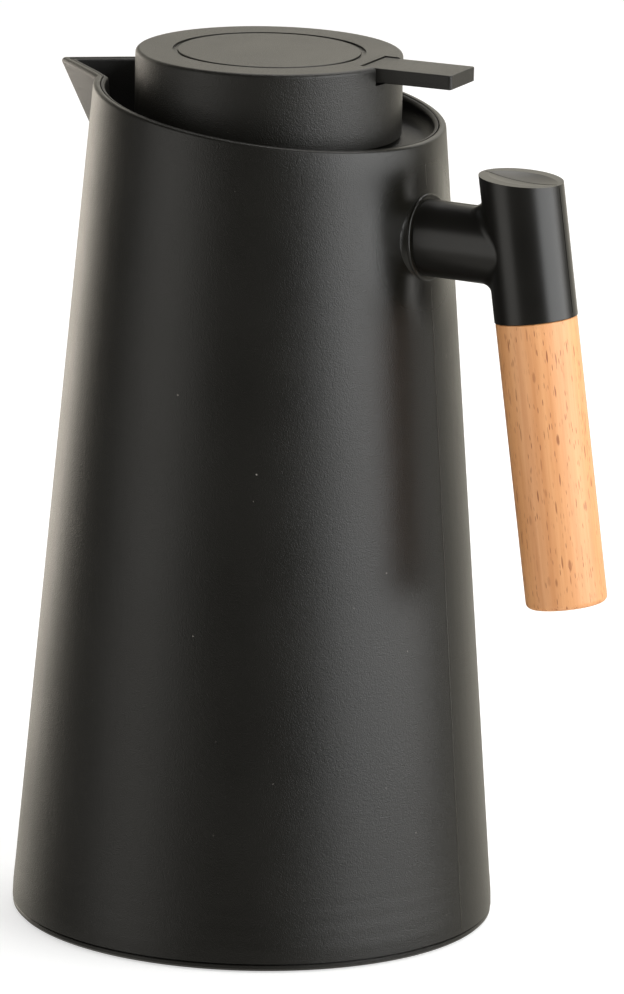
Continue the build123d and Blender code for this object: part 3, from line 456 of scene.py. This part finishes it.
def seam_painted_shade_finish(name):
    """The line where the two halves of the arm's mould met, painted dark and dull as the shade
    of a groove.
    """
    sizes = bpy.context.scene.carafe_plastics
    # painted shade: the dark colour and the weak reflection stand in for the shadow in a
    # groove
    material = plastic(name, shade(sizes.arm_colour, 0.3), 0.85,
                       sizes.grain_depth * 0.1, dust=0.0)
    shader = material.node_tree.nodes["Principled BSDF"]
    shader.inputs["Specular IOR Level"].default_value = 0.08
    return material


def hairline_painted_highlight_finish(name):
    """The polished hairline down the housing, its paler colour a painted highlight."""
    sizes = bpy.context.scene.carafe_plastics
    # painted highlight: five times the housing's colour stands in for the light the ridge
    # catches
    return plastic(name, shade(sizes.housing_colour, 5.0), 0.25,
                   sizes.grain_depth * 0.1, dust=0.0)


def arm_finish(name):
    """Smoother black of the arm and its head."""
    sizes = bpy.context.scene.carafe_plastics
    return plastic(name, sizes.arm_colour, 0.31, sizes.grain_depth * 0.12, dust=0.3)


def inner_finish(name):
    """Plain matt black of the parts behind the dish and under the lid."""
    sizes = bpy.context.scene.carafe_plastics
    return plastic(name, sizes.lid_colour, 0.52, sizes.grain_depth * 0.4, dust=0.0)


def beech_finish(name):
    """Oiled beech: soft years, pores along the grain and short dark rays."""
    wood = bpy.context.scene.carafe_wood
    material, tree, shader, where = new_material(name)
    turn = tree.nodes.new("ShaderNodeMapping")
    turn.vector_type = "TEXTURE"
    turn.inputs["Location"].default_value = (wood.axis_x, 0.0, wood.axis_z)
    turn.inputs["Rotation"].default_value = (0.0, -wood.tilt, 0.0)
    tree.links.new(where, turn.inputs["Vector"])
    local = turn.outputs["Vector"]
    streaks = noise(tree, stretched(tree, local, (1.0, 1.0, 0.035)), 900.0, 3.0, 0.6)
    base = mix_colour(tree, beech_tone(tree, local, streaks), wood.dark_colour,
                      wood.light_colour)
    marked, sunken = beech_marks(tree, local, base)
    tree.links.new(marked, shader.inputs["Base Color"])
    tree.links.new(math_node(tree, "MULTIPLY_ADD", streaks, 0.12, 0.40),
                   shader.inputs["Roughness"])
    bump(tree, shader, math_node(tree, "SUBTRACT", streaks, sunken), 0.05 * MM)
    shader.inputs["Coat Weight"].default_value = 0.20
    shader.inputs["Coat Roughness"].default_value = 0.42
    return material


def beech_tone(tree, local, streaks):
    """How light the wood is: wide years, fine streaks and a slow change."""
    years = noise(tree, stretched(tree, local, (1.0, 0.32, 0.028)), 210.0, 2.0, 0.55)
    slow = math_node(tree, "MULTIPLY", noise(tree, local, 30.0, 2.0), 0.08)
    finer = math_node(tree, "MULTIPLY_ADD", streaks, 0.30, slow)
    tone = math_node(tree, "MULTIPLY_ADD", years, 0.62, finer)
    return map_range(tree, tone, 0.36, 0.66, smooth=False)


def beech_marks(tree, local, base):
    """Flecks, pores and wide rays over the wood's colour, and the relief they cut."""
    wood = bpy.context.scene.carafe_wood
    length = wood.fleck_length
    flecks = fleck_mask(tree, local, length, 0.27 * MM, 3.1, 0.30)
    pores = fleck_mask(tree, local, length * 0.5, 0.17 * MM, 7.7, 0.70)
    rays = fleck_mask(tree, local, length * 0.9, 0.60 * MM, 5.3, 0.08)
    for mask, strength in ((flecks, 0.95), (pores, 0.85), (rays, 0.85)):
        share = math_node(tree, "MULTIPLY", mask, strength)
        base = mix_colour(tree, share, base, wood.fleck_colour)
    return base, math_node(tree, "ADD", flecks, pores)


def fleck_mask(tree, vector, length, width, offset, share):
    """Short dark dashes along the local Z, in a random share of the cells."""
    node = tree.nodes.new("ShaderNodeMapping")
    node.inputs["Location"].default_value = (offset, offset, offset)
    node.inputs["Scale"].default_value = (0.28 / width, 0.28 / width, 0.42 / length)
    tree.links.new(vector, node.inputs["Vector"])
    cells = tree.nodes.new("ShaderNodeTexVoronoi")
    cells.inputs["Scale"].default_value = 1.0
    tree.links.new(node.outputs["Vector"], cells.inputs["Vector"])
    pick = tree.nodes.new("ShaderNodeSeparateColor")
    tree.links.new(cells.outputs["Color"], pick.inputs["Color"])
    shape = map_range(tree, cells.outputs["Distance"], 0.34, 0.18)
    chosen = math_node(tree, "LESS_THAN", pick.outputs["Red"], share)
    depth = math_node(tree, "MULTIPLY", shape, pick.outputs["Green"])
    return math_node(tree, "MULTIPLY", depth, chosen)


def metal(name, colour, roughness):
    """Plain bright metal with fine drawing marks."""
    material, tree, shader, where = new_material(name)
    shader.inputs["Metallic"].default_value = 1.0
    lines = noise(tree, stretched(tree, where, (1.0, 1.0, 0.08)), 3200.0, 2.0)
    tone = mix_colour(tree, lines, colour, shade(colour, 0.82))
    tree.links.new(tone, shader.inputs["Base Color"])
    rubbed = use_group(tree, "Handling", where, Amount=0.05)
    level = math_node(tree, "MULTIPLY_ADD", lines, 0.06, roughness)
    tree.links.new(math_node(tree, "ADD", level, rubbed.outputs["Roughness"]),
                   shader.inputs["Roughness"])
    bump(tree, shader, lines, 0.004 * MM)
    return material


def mirror_glass(name):
    """Silvered vacuum glass: mirror with faint waves and silvering haze."""
    material, tree, shader, where = new_material(name)
    shader.inputs["Metallic"].default_value = 1.0
    haze = noise(tree, where, 60.0, 4.0, 0.6)
    tone = mix_colour(tree, map_range(tree, haze, 0.4, 0.75), (0.83, 0.84, 0.85),
                      (0.70, 0.71, 0.73))
    tree.links.new(tone, shader.inputs["Base Color"])
    tree.links.new(map_range(tree, haze, 0.3, 0.8, 0.05, 0.16), shader.inputs["Roughness"])
    bump(tree, shader, noise(tree, where, 26.0, 1.0), 0.12 * MM)
    return material


def rubber(name, colour, roughness):
    """Soft rubber with a dull fine bloom and some dust."""
    material, tree, shader, where = new_material(name)
    grain = use_group(tree, "Mould grain", where, Size=0.3 * MM)
    bloom = mix_colour(tree, grain.outputs["Gloss"], colour, shade(colour, 1.2, 0.01))
    dusty = dusted(tree, where, bloom, 5 * MM, (0.4, 0.38, 0.35), 1.0)
    tree.links.new(dusty, shader.inputs["Base Color"])
    tree.links.new(math_node(tree, "MULTIPLY_ADD", grain.outputs["Height"], 0.1, roughness),
                   shader.inputs["Roughness"])
    bump(tree, shader, grain.outputs["Height"], 0.01 * MM)
    return material


# Each finish: its name, what makes it, and a colour and roughness where that needs them
FINISHES = {
    "housing": ("Satin black housing", housing_finish),
    "dish": ("Dull black dish", dish_finish),
    "lid": ("Satin black lid", lid_finish),
    "arm": ("Smooth black arm", arm_finish),
    # the mould line's finish is painted shade, the bright mould line's a painted highlight
    "seam": ("Mould line", seam_painted_shade_finish),
    "hairline": ("Bright mould line", hairline_painted_highlight_finish),
    "inner": ("Matt inner black", inner_finish),
    "beech": ("Oiled beech", beech_finish),
    "glass": ("Silvered glass", mirror_glass),
    "steel": ("Stainless steel", metal, (0.62, 0.61, 0.59), 0.24),
    "spring": ("Spring steel", metal, (0.52, 0.51, 0.50), 0.30),
    "brass": ("Turned brass", metal, (0.72, 0.52, 0.24), 0.28),
    "silicone": ("Grey silicone", rubber, (0.42, 0.42, 0.41), 0.48),
    "foot": ("Black foot rubber", rubber, (0.02, 0.02, 0.02), 0.62),
}


def finish(name):
    """The material of one finish, made the first time it is asked for."""
    label, maker, *values = FINISHES[name]
    return bpy.data.materials.get(label) or maker(label, *values)


def coat(node, name):
    """Gives a carried-over node one finish on all its slots."""
    paint(NODES[node], name)


def paint(piece, name):
    """Gives an object one finish on all its slots."""
    slots = piece.data.materials
    if not slots:
        slots.append(finish(name))
    for index in range(len(slots)):
        slots[index] = finish(name)


def evened_normals(mesh):
    """Corner normals, evened where near-equal ones meet, as where a round face closes."""
    like = math.radians(12)
    same = math.radians(0.2)
    corners = [corner.vector.copy() for corner in mesh.corner_normals]
    meeting = {}
    for loop in mesh.loops:
        place = mesh.vertices[loop.vertex_index].co
        key = tuple(round(v / SAME_PLACE) for v in place)
        meeting.setdefault(key, []).append(loop.index)
    evened = list(corners)
    for loops in meeting.values():
        for index in loops:
            meant = []
            for normal in (corners[k] for k in loops):
                near = corners[index].angle(normal, 0.0) < like
                if near and all(normal.angle(seen, 0.0) > same for seen in meant):
                    meant.append(normal)
            evened[index] = sum(meant, Vector()).normalized()
    return evened


def merged_copy(node, name, body):
    """A merged copy of a node with even shading, which stands for it on its body."""
    mesh = NODES[node].data.copy()
    mesh.name = name
    kept = mesh.attributes.new("kept_normal", "FLOAT_VECTOR", "CORNER")
    kept.data.foreach_set("vector", [v for normal in evened_normals(mesh) for v in normal])
    shape = bmesh.new()
    shape.from_mesh(mesh)
    bmesh.ops.remove_doubles(shape, verts=shape.verts, dist=0.001 * MM)
    shape.to_mesh(mesh)
    shape.free()
    kept = mesh.attributes["kept_normal"]
    normals = [tuple(corner.vector) for corner in kept.data]
    mesh.attributes.remove(kept)
    mesh.normals_split_custom_set(normals)
    piece = bpy.data.objects.new(name, mesh)
    bpy.context.scene.collection.objects.link(piece)
    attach(piece, body)
    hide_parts(node)
    return piece


# Geometry Nodes

def geometry_group(name, inputs):
    """An empty geometry node group with a geometry in and out and named inputs."""
    tree = bpy.data.node_groups.new(name, "GeometryNodeTree")
    tree.interface.new_socket("Geometry", in_out="INPUT", socket_type="NodeSocketGeometry")
    for label, kind, value in inputs:
        made = tree.interface.new_socket(label, in_out="INPUT", socket_type=kind)
        if value is not None:
            made.default_value = value
    tree.interface.new_socket("Geometry", in_out="OUTPUT", socket_type="NodeSocketGeometry")
    return tree, tree.nodes.new("NodeGroupInput"), tree.nodes.new("NodeGroupOutput")


def close_tree(tree, given, out, geometry):
    """Ends a tree in Realize Instances and Set Material."""
    whole = tree.nodes.new("GeometryNodeRealizeInstances")
    finished = tree.nodes.new("GeometryNodeSetMaterial")
    tree.links.new(geometry, whole.inputs["Geometry"])
    tree.links.new(whole.outputs["Geometry"], finished.inputs["Geometry"])
    tree.links.new(given.outputs["Material"], finished.inputs["Material"])
    tree.links.new(finished.outputs["Geometry"], out.inputs["Geometry"])


def swept(tree, path, profile):
    """The mesh of a profile that runs along a path, with closed ends."""
    sweep = tree.nodes.new("GeometryNodeCurveToMesh")
    sweep.inputs["Fill Caps"].default_value = True
    tree.links.new(path, sweep.inputs["Curve"])
    tree.links.new(profile, sweep.inputs["Profile Curve"])
    return sweep.outputs["Mesh"]


def seam_tree():
    """A raised line of plastic that follows a path."""
    name = "Mould seam"
    if name in bpy.data.node_groups:
        return bpy.data.node_groups[name]
    tree, given, out = geometry_group(name, [
        ("Width", "NodeSocketFloat", 0.36 * MM), ("Step", "NodeSocketFloat", 0.8 * MM),
        ("Material", "NodeSocketMaterial", None)])
    steps = tree.nodes.new("GeometryNodeResampleCurve")
    steps.mode = "LENGTH"
    tree.links.new(given.outputs["Geometry"], steps.inputs["Curve"])
    tree.links.new(given.outputs["Step"], steps.inputs["Length"])
    ring = tree.nodes.new("GeometryNodeCurvePrimitiveCircle")
    ring.inputs["Resolution"].default_value = 8
    tree.links.new(math_node(tree, "MULTIPLY", given.outputs["Width"], 0.5),
                   ring.inputs["Radius"])
    line = swept(tree, steps.outputs["Curve"], ring.outputs["Curve"])
    close_tree(tree, given, out, line)
    return tree


def thread_tree():
    """Helical ridges round the Z axis, with tapered ends."""
    name = "Thread ridges"
    if name in bpy.data.node_groups:
        return bpy.data.node_groups[name]
    tree, given, out = geometry_group(name, [
        ("Radius", "NodeSocketFloat", 30 * MM), ("Lead", "NodeSocketFloat", 8 * MM),
        ("Turns", "NodeSocketFloat", 1.0), ("Width", "NodeSocketFloat", 1.6 * MM),
        ("Height", "NodeSocketFloat", 1.1 * MM), ("Starts", "NodeSocketInt", 2),
        ("Start Z", "NodeSocketFloat", 0.0), ("Start Angle", "NodeSocketFloat", 0.0),
        ("Material", "NodeSocketMaterial", None)])
    ridge = swept(tree, ridge_path(tree, given), ridge_profile(tree, given))
    lift = tree.nodes.new("ShaderNodeCombineXYZ")
    tree.links.new(given.outputs["Start Z"], lift.inputs["Z"])
    place = tree.nodes.new("GeometryNodeTransform")
    tree.links.new(one_for_each_start(tree, given, ridge), place.inputs["Geometry"])
    tree.links.new(lift.outputs["Vector"], place.inputs["Translation"])
    close_tree(tree, given, out, place.outputs["Geometry"])
    return tree


def ridge_path(tree, given):
    """A helix whose curve radius shrinks at both ends, so that the ridge fades out."""
    spiral = tree.nodes.new("GeometryNodeCurveSpiral")
    spiral.inputs["Resolution"].default_value = 120
    spiral.inputs["Reverse"].default_value = True
    tree.links.new(given.outputs["Turns"], spiral.inputs["Rotations"])
    tree.links.new(given.outputs["Radius"], spiral.inputs["Start Radius"])
    tree.links.new(given.outputs["Radius"], spiral.inputs["End Radius"])
    rise = math_node(tree, "MULTIPLY", given.outputs["Lead"], given.outputs["Turns"])
    tree.links.new(rise, spiral.inputs["Height"])
    along = tree.nodes.new("GeometryNodeSplineParameter").outputs["Factor"]
    near_end = math_node(tree, "MINIMUM", along, math_node(tree, "SUBTRACT", 1.0, along))
    taper = map_range(tree, near_end, 0.0, 0.08, 0.05, 1.0, smooth=False)
    shrink = tree.nodes.new("GeometryNodeSetCurveRadius")
    tree.links.new(spiral.outputs["Curve"], shrink.inputs["Curve"])
    tree.links.new(taper, shrink.inputs["Radius"])
    upright = tree.nodes.new("GeometryNodeSetCurveNormal")
    upright.mode = "Z_UP"
    tree.links.new(shrink.outputs["Curve"], upright.inputs["Curve"])
    return upright.outputs["Curve"]


def ridge_profile(tree, given):
    """A kite with half of it sunk in the wall, as wide as the ridge where they meet."""
    tooth = tree.nodes.new("GeometryNodeCurvePrimitiveQuadrilateral")
    tooth.mode = "KITE"
    tree.links.new(math_node(tree, "MULTIPLY", given.outputs["Height"], 2.0),
                   tooth.inputs["Width"])
    half_width = math_node(tree, "MULTIPLY", given.outputs["Width"], 0.5)
    tree.links.new(half_width, tooth.inputs["Bottom Height"])
    tree.links.new(half_width, tooth.inputs["Top Height"])
    return tooth.outputs["Curve"]


def one_for_each_start(tree, given, ridge):
    """Copies of a ridge, spread evenly round the axis."""
    spots = tree.nodes.new("GeometryNodeMeshLine")
    tree.links.new(given.outputs["Starts"], spots.inputs["Count"])
    spots.inputs["Offset"].default_value = (0.0, 0.0, 0.0)
    index = tree.nodes.new("GeometryNodeInputIndex").outputs["Index"]
    apart = math_node(tree, "DIVIDE", 2 * math.pi, given.outputs["Starts"])
    angle = math_node(tree, "ADD", math_node(tree, "MULTIPLY", index, apart),
                      given.outputs["Start Angle"])
    turn = tree.nodes.new("ShaderNodeCombineXYZ")
    tree.links.new(angle, turn.inputs["Z"])
    copies = tree.nodes.new("GeometryNodeInstanceOnPoints")
    tree.links.new(spots.outputs["Mesh"], copies.inputs["Points"])
    tree.links.new(ridge, copies.inputs["Instance"])
    tree.links.new(turn.outputs["Vector"], copies.inputs["Rotation"])
    return copies.outputs["Instances"]


def run_tree(source, tree, values, name):
    """The mesh that a tree makes of an object, as a new plain object at the origin."""
    modifier = source.modifiers.new("Nodes", "NODES")
    modifier.node_group = tree
    for item in tree.interface.items_tree:
        if item.in_out == "INPUT" and item.name in values:
            modifier[item.identifier] = values[item.name]
    bpy.context.view_layer.update()
    graph = bpy.context.evaluated_depsgraph_get()
    mesh = bpy.data.meshes.new_from_object(source.evaluated_get(graph), depsgraph=graph)
    if not mesh.polygons:
        raise RuntimeError(f"the tree {tree.name} made nothing for {name}")
    source.modifiers.remove(modifier)
    bpy.data.objects.remove(source)
    mesh.name = name
    piece = bpy.data.objects.new(name, mesh)
    bpy.context.scene.collection.objects.link(piece)
    return piece


def empty_mesh(name):
    """An object with no geometry, to carry a tree that makes its own."""
    holder = bpy.data.objects.new(name, bpy.data.meshes.new(name))
    bpy.context.scene.collection.objects.link(holder)
    return holder


def path_curve(name, points):
    """An object with one open path through the points."""
    data = bpy.data.curves.new(name, "CURVE")
    data.dimensions = "3D"
    spline = data.splines.new("POLY")
    spline.points.add(len(points) - 1)
    for target, point in zip(spline.points, points):
        target.co = (*point, 1.0)
    holder = bpy.data.objects.new(name, data)
    bpy.context.scene.collection.objects.link(holder)
    return holder


def surface_points(node, starts, direction, inset):
    """Where rays meet a node's surface, sunk a little below it."""
    mesh = NODES[node].data
    tree = BVHTree.FromPolygons([corner.co for corner in mesh.vertices],
                                [face.vertices for face in mesh.polygons])
    points = []
    for start in starts:
        place, normal = tree.ray_cast(Vector(start), Vector(direction))[:2]
        if place is not None:
            points.append(place - normal * inset)
    return points


def spread(low, high, count):
    """Evenly spread numbers from low to high."""
    return [low + (high - low) * k / (count - 1) for k in range(count)]


def seam(name, points, body, material):
    """A mould seam through surface points, riding on a body."""
    if len(points) < 4:
        raise RuntimeError(f"{name} found no surface to follow")
    sizes = bpy.context.scene.carafe_seams
    values = {"Width": sizes.width, "Step": sizes.spacing, "Material": material}
    piece = run_tree(path_curve(name + "_path", points), seam_tree(), values, name)
    piece.data.shade_smooth()
    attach(piece, body)
    return piece


# Operators

class CARAFE_OT_housing(bpy.types.Operator):
    """Finish the housing, the dish and the base, and add the housing's mould seams"""
    bl_idname = "carafe.housing"
    bl_label = "Finish Housing"

    def execute(self, context):
        shell = merged_copy("outer_shell", "housing_shell", "carafe")
        paint(shell, "housing")
        coat("base_plate", "housing")
        coat("pouring_collar", "dish")
        sizes = context.scene.carafe_seams
        inset = sizes.width / 2 - sizes.rise
        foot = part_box("outer_shell")[0].z + SEAM_MARGIN
        spans = (("seam_below_arm", foot, ARM_Z - ARM_CLEAR_R, 80),
                 ("seam_above_arm", ARM_Z + ARM_CLEAR_R, SEAM_TOP_Z, 12))
        for name, bottom, top, count in spans:
            starts = [(RAY_X, 0.0, z) for z in spread(bottom, top, count)]
            points = surface_points("outer_shell", starts, (-1, 0, 0), inset)
            piece = seam(name, points, "carafe", finish("hairline"))
        return {"FINISHED"}


class CARAFE_OT_handle(bpy.types.Operator):
    """Finish the arm and the wooden grip, and add the arm's parting line"""
    bl_idname = "carafe.handle"
    bl_label = "Finish Handle"

    def execute(self, context):
        coat("arm_bracket", "arm")
        coat("wooden_grip", "beech")
        for node in ("arm_inserts", "head_insert", "grip_insert"):
            coat(node, "brass")
        for node in ("arm_backing_plate", "arm_screws", "grip_stud"):
            coat(node, "steel")
        sizes = context.scene.carafe_seams
        inset = sizes.width / 2 - sizes.rise
        low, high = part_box("arm_bracket")
        along = spread(low.x + SEAT_MARGIN, high.x - SEAM_MARGIN, 110)
        top = [(x, 0.0, RAY_Z) for x in along]
        points = surface_points("arm_bracket", top, (0, 0, -1), inset)
        down = spread(high.z - CORNER_MARGIN, low.z + SEAM_MARGIN, 40)
        side = [(RAY_X, 0.0, z) for z in down]
        points += surface_points("arm_bracket", side, (-1, 0, 0), inset)
        piece = seam("arm_parting_line", points, "carafe", finish("seam"))
        return {"FINISHED"}


class CARAFE_OT_lid(bpy.types.Operator):
    """Finish the lid, its disc and the thumb lever"""
    bl_idname = "carafe.lid"
    bl_label = "Finish Lid"

    def execute(self, context):
        for node in ("lid_cap", "lid_disc", "thumb_lever"):
            coat(node, "lid")
        return {"FINISHED"}


class CARAFE_OT_stopper(bpy.types.Operator):
    """Finish the stopper and its valve"""
    bl_idname = "carafe.stopper"
    bl_label = "Finish Stopper"

    def execute(self, context):
        for node in ("stopper_body", "mechanism_carrier", "valve_head"):
            coat(node, "inner")
        for node in ("stopper_seal", "valve_seal", "stem_ring"):
            coat(node, "silicone")
        for node in ("lever_pin", "valve_stem", "stem_clip", "lift_collar", "carrier_screws"):
            coat(node, "steel")
        spring = merged_copy("valve_spring", "closing_spring", "lid")
        paint(spring, "spring")
        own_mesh(spring)
        return {"FINISHED"}


class CARAFE_OT_liner(bpy.types.Operator):
    """Finish the glass liner, its neck and the pads that hold it"""
    bl_idname = "carafe.liner"
    bl_label = "Finish Liner"

    def execute(self, context):
        for node in ("inner_bottle", "outer_bottle"):
            coat(node, "glass")
        coat("neck_ring", "inner")
        for node in ("neck_gasket", "liner_spacers", "base_cushion"):
            coat(node, "silicone")
        coat("base_pad", "foot")
        return {"FINISHED"}


class CARAFE_OT_threads(bpy.types.Operator):
    """Add the screw threads of the stopper and of the neck"""
    bl_idname = "carafe.threads"
    bl_label = "Add Threads"

    def execute(self, context):
        sizes = context.scene.carafe_threads
        common = {"Lead": sizes.lead, "Width": sizes.width, "Starts": sizes.starts,
                  "Start Angle": sizes.start_angle, "Material": finish("inner")}
        stopper = {"Radius": sizes.stopper_radius, "Height": sizes.stopper_height,
                   "Turns": sizes.stopper_turns, "Start Z": sizes.stopper_foot}
        neck = {"Radius": sizes.neck_radius, "Height": sizes.neck_height,
                "Turns": sizes.neck_turns, "Start Z": sizes.neck_foot}
        for name, body, own in (("stopper_thread", "lid", stopper),
                                ("neck_thread", "carafe", neck)):
            holder = empty_mesh(name + "_source")
            ridges = run_tree(holder, thread_tree(), common | own, name)
            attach(ridges, body)
        return {"FINISHED"}


class CARAFE_OT_studio(bpy.types.Operator):
    """Make the floor, the soft lights and the camera"""
    bl_idname = "carafe.studio"
    bl_label = "Set Up Studio"

    def execute(self, context):
        floor_piece()
        studio_world(context.scene)
        soft_lights()
        camera(context.scene)
        context.scene.view_settings.view_transform = "Standard"
        return {"FINISHED"}


# Studio

def across(angle):
    """Level direction at an angle to the right of the camera's side."""
    turn = bpy.context.scene.carafe_studio.azimuth
    return Vector((math.sin(turn + angle), -math.cos(turn + angle), 0.0))


def floor_piece():
    """Large round pale floor that glows a little, so that shadows stay faint."""
    mesh = bpy.data.meshes.new("floor")
    shape = bmesh.new()
    bmesh.ops.create_circle(shape, cap_ends=True, segments=128, radius=FLOOR_R)
    bmesh.ops.translate(shape, verts=shape.verts, vec=(0.0, 0.0, FLOOR_Z))
    shape.to_mesh(mesh)
    shape.free()
    floor = bpy.data.objects.new("floor", mesh)
    bpy.context.scene.collection.objects.link(floor)
    material, tree, shader, where = new_material("Pale floor")
    tone = mix_colour(tree, noise(tree, where, 3.0, 2.0), (0.62, 0.62, 0.62),
                      (0.64, 0.64, 0.64))
    tree.links.new(tone, shader.inputs["Base Color"])
    shader.inputs["Roughness"].default_value = 0.9
    shader.inputs["Specular IOR Level"].default_value = 0.1
    shader.inputs["Emission Color"].default_value = (1.0, 1.0, 1.0, 1.0)
    shader.inputs["Emission Strength"].default_value = 0.55
    mesh.materials.append(material)
    floor.visible_glossy = False


def studio_world(scene):
    """White to the camera, even to soft shading, and a lit room to reflections."""
    world = bpy.data.worlds.new("Studio")
    scene.world = world
    world.use_nodes = True
    tree = world.node_tree
    tree.nodes.clear()
    out = tree.nodes.new("ShaderNodeOutputWorld")
    path = tree.nodes.new("ShaderNodeLightPath")
    seen = plain_light(tree, (1.0, 1.0, 1.0))
    even = plain_light(tree, (0.50, 0.495, 0.485))
    room = plain_light(tree, (0.0, 0.0, 0.0))
    tree.links.new(room_colour(tree), room.inputs["Color"])
    shaded = tree.nodes.new("ShaderNodeMixShader")
    tree.links.new(path.outputs["Is Glossy Ray"], shaded.inputs["Fac"])
    tree.links.new(even.outputs["Background"], shaded.inputs[1])
    tree.links.new(room.outputs["Background"], shaded.inputs[2])
    pick = tree.nodes.new("ShaderNodeMixShader")
    tree.links.new(path.outputs["Is Camera Ray"], pick.inputs["Fac"])
    tree.links.new(shaded.outputs["Shader"], pick.inputs[1])
    tree.links.new(seen.outputs["Background"], pick.inputs[2])
    tree.links.new(pick.outputs["Shader"], out.inputs["Surface"])


def plain_light(tree, colour):
    """A world background of one colour."""
    node = tree.nodes.new("ShaderNodeBackground")
    node.inputs["Color"].default_value = (*colour, 1.0)
    return node


def room_colour(tree):
    """What reflections see: a warm bright backdrop, a dim front and top, a pale table."""
    where = tree.nodes.new("ShaderNodeTexCoord").outputs["Generated"]
    behind = tree.nodes.new("ShaderNodeVectorMath")
    behind.operation = "DOT_PRODUCT"
    tree.links.new(where, behind.inputs[0])
    behind.inputs[1].default_value = -across(0.0)
    back = map_range(tree, behind.outputs["Value"], 0.30, 0.88)
    parts = tree.nodes.new("ShaderNodeSeparateXYZ")
    tree.links.new(where, parts.inputs["Vector"])
    below_top = map_range(tree, parts.outputs["Z"], 0.62, 0.36)
    back = math_node(tree, "MULTIPLY", back, below_top)
    room = mix_colour(tree, back, (0.030, 0.029, 0.026), (1.0, 0.945, 0.80))
    table = map_range(tree, parts.outputs["Z"], -0.12, -0.44)
    return mix_colour(tree, table, room, (0.47, 0.453, 0.414))


def soft_light(name, angle, height, distance, size, power, colour):
    """One rectangular soft light, its angle in degrees, aimed at the carafe's middle."""
    data = bpy.data.lights.new(name, "AREA")
    data.shape = "RECTANGLE"
    data.size, data.size_y = size
    data.energy = power
    data.color = colour
    light = bpy.data.objects.new(name, data)
    light.location = across(math.radians(angle)) * distance + Vector((0.0, 0.0, height))
    aim = Vector((0.0, 0.0, LIGHT_AIM_Z)) - light.location
    light.rotation_euler = aim.to_track_quat("-Z", "Y").to_euler()
    bpy.context.scene.collection.objects.link(light)


def soft_lights():
    """Key and side light on the right, fill and warm edge light on the left, a top light."""
    soft_light("key", angle=62, height=0.50, distance=1.2, size=(1.25, 1.25),
               power=20.0, colour=(0.99, 1.0, 1.0))
    soft_light("fill", angle=-60, height=0.35, distance=1.3, size=(0.9, 1.2),
               power=4.0, colour=(1.0, 0.98, 0.93))
    soft_light("edge", angle=-145, height=0.10, distance=1.3, size=(0.60, 0.6),
               power=2.6, colour=(1.0, 0.90, 0.79))
    soft_light("side", angle=91, height=0.10, distance=1.2, size=(0.35, 0.5),
               power=1.5, colour=(1.0, 0.98, 0.94))
    soft_light("top", angle=150, height=1.5, distance=0.9, size=(1.2, 1.2),
               power=12.0, colour=(1.0, 0.98, 0.95))


def camera(scene):
    """The photograph's camera."""
    view = scene.carafe_studio
    back = across(0.0) * math.cos(view.elevation) + Vector((0, 0, math.sin(view.elevation)))
    right = Vector((math.cos(view.azimuth), math.sin(view.azimuth), 0.0))
    aim = right * view.aim_side + Vector((0.0, 0.0, view.aim_height))
    data = bpy.data.cameras.new("camera")
    data.sensor_width = 36.0
    data.lens = view.lens
    data.clip_start = 0.05
    data.clip_end = 50.0
    eye = bpy.data.objects.new("camera", data)
    eye.location = aim + back * view.distance
    turn = (-back).to_track_quat("-Z", "Y").to_matrix() @ Matrix.Rotation(view.roll, 3, "Z")
    eye.rotation_euler = turn.to_euler()
    scene.collection.objects.link(eye)
    scene.camera = eye


# Add-on

class CARAFE_PT_panel(bpy.types.Panel):
    """Lists the steps in the 3D view's sidebar"""
    bl_idname = "CARAFE_PT_panel"
    bl_label = "Thermal Carafe"
    bl_space_type = "VIEW_3D"
    bl_region_type = "UI"
    bl_category = "Carafe"

    def draw(self, context):
        for step in STEPS:
            self.layout.operator(step.bl_idname)


GROUPS = {
    "carafe_plastics": CarafePlastics,
    "carafe_wood": CarafeWood,
    "carafe_seams": CarafeSeams,
    "carafe_threads": CarafeThreads,
    "carafe_studio": CarafeStudio,
}
STEPS = (
    CARAFE_OT_housing,
    CARAFE_OT_handle,
    CARAFE_OT_lid,
    CARAFE_OT_stopper,
    CARAFE_OT_liner,
    CARAFE_OT_threads,
    CARAFE_OT_studio,
)


def register():
    """Registers the settings, the operators and the panel."""
    for name, group in GROUPS.items():
        bpy.utils.register_class(group)
        setattr(bpy.types.Scene, name, PointerProperty(type=group))
    for step in STEPS:
        bpy.utils.register_class(step)
    bpy.utils.register_class(CARAFE_PT_panel)


def unregister():
    """Takes everything out again."""
    bpy.utils.unregister_class(CARAFE_PT_panel)
    for step in reversed(STEPS):
        bpy.utils.unregister_class(step)
    for name, group in reversed(list(GROUPS.items())):
        delattr(bpy.types.Scene, name)
        bpy.utils.unregister_class(group)


def main():
    """Runs the steps in order."""
    register()
    bpy.ops.carafe.housing()
    bpy.ops.carafe.handle()
    bpy.ops.carafe.lid()
    bpy.ops.carafe.stopper()
    bpy.ops.carafe.liner()
    bpy.ops.carafe.threads()
    bpy.ops.carafe.studio()


if __name__ == "__main__":
    main()
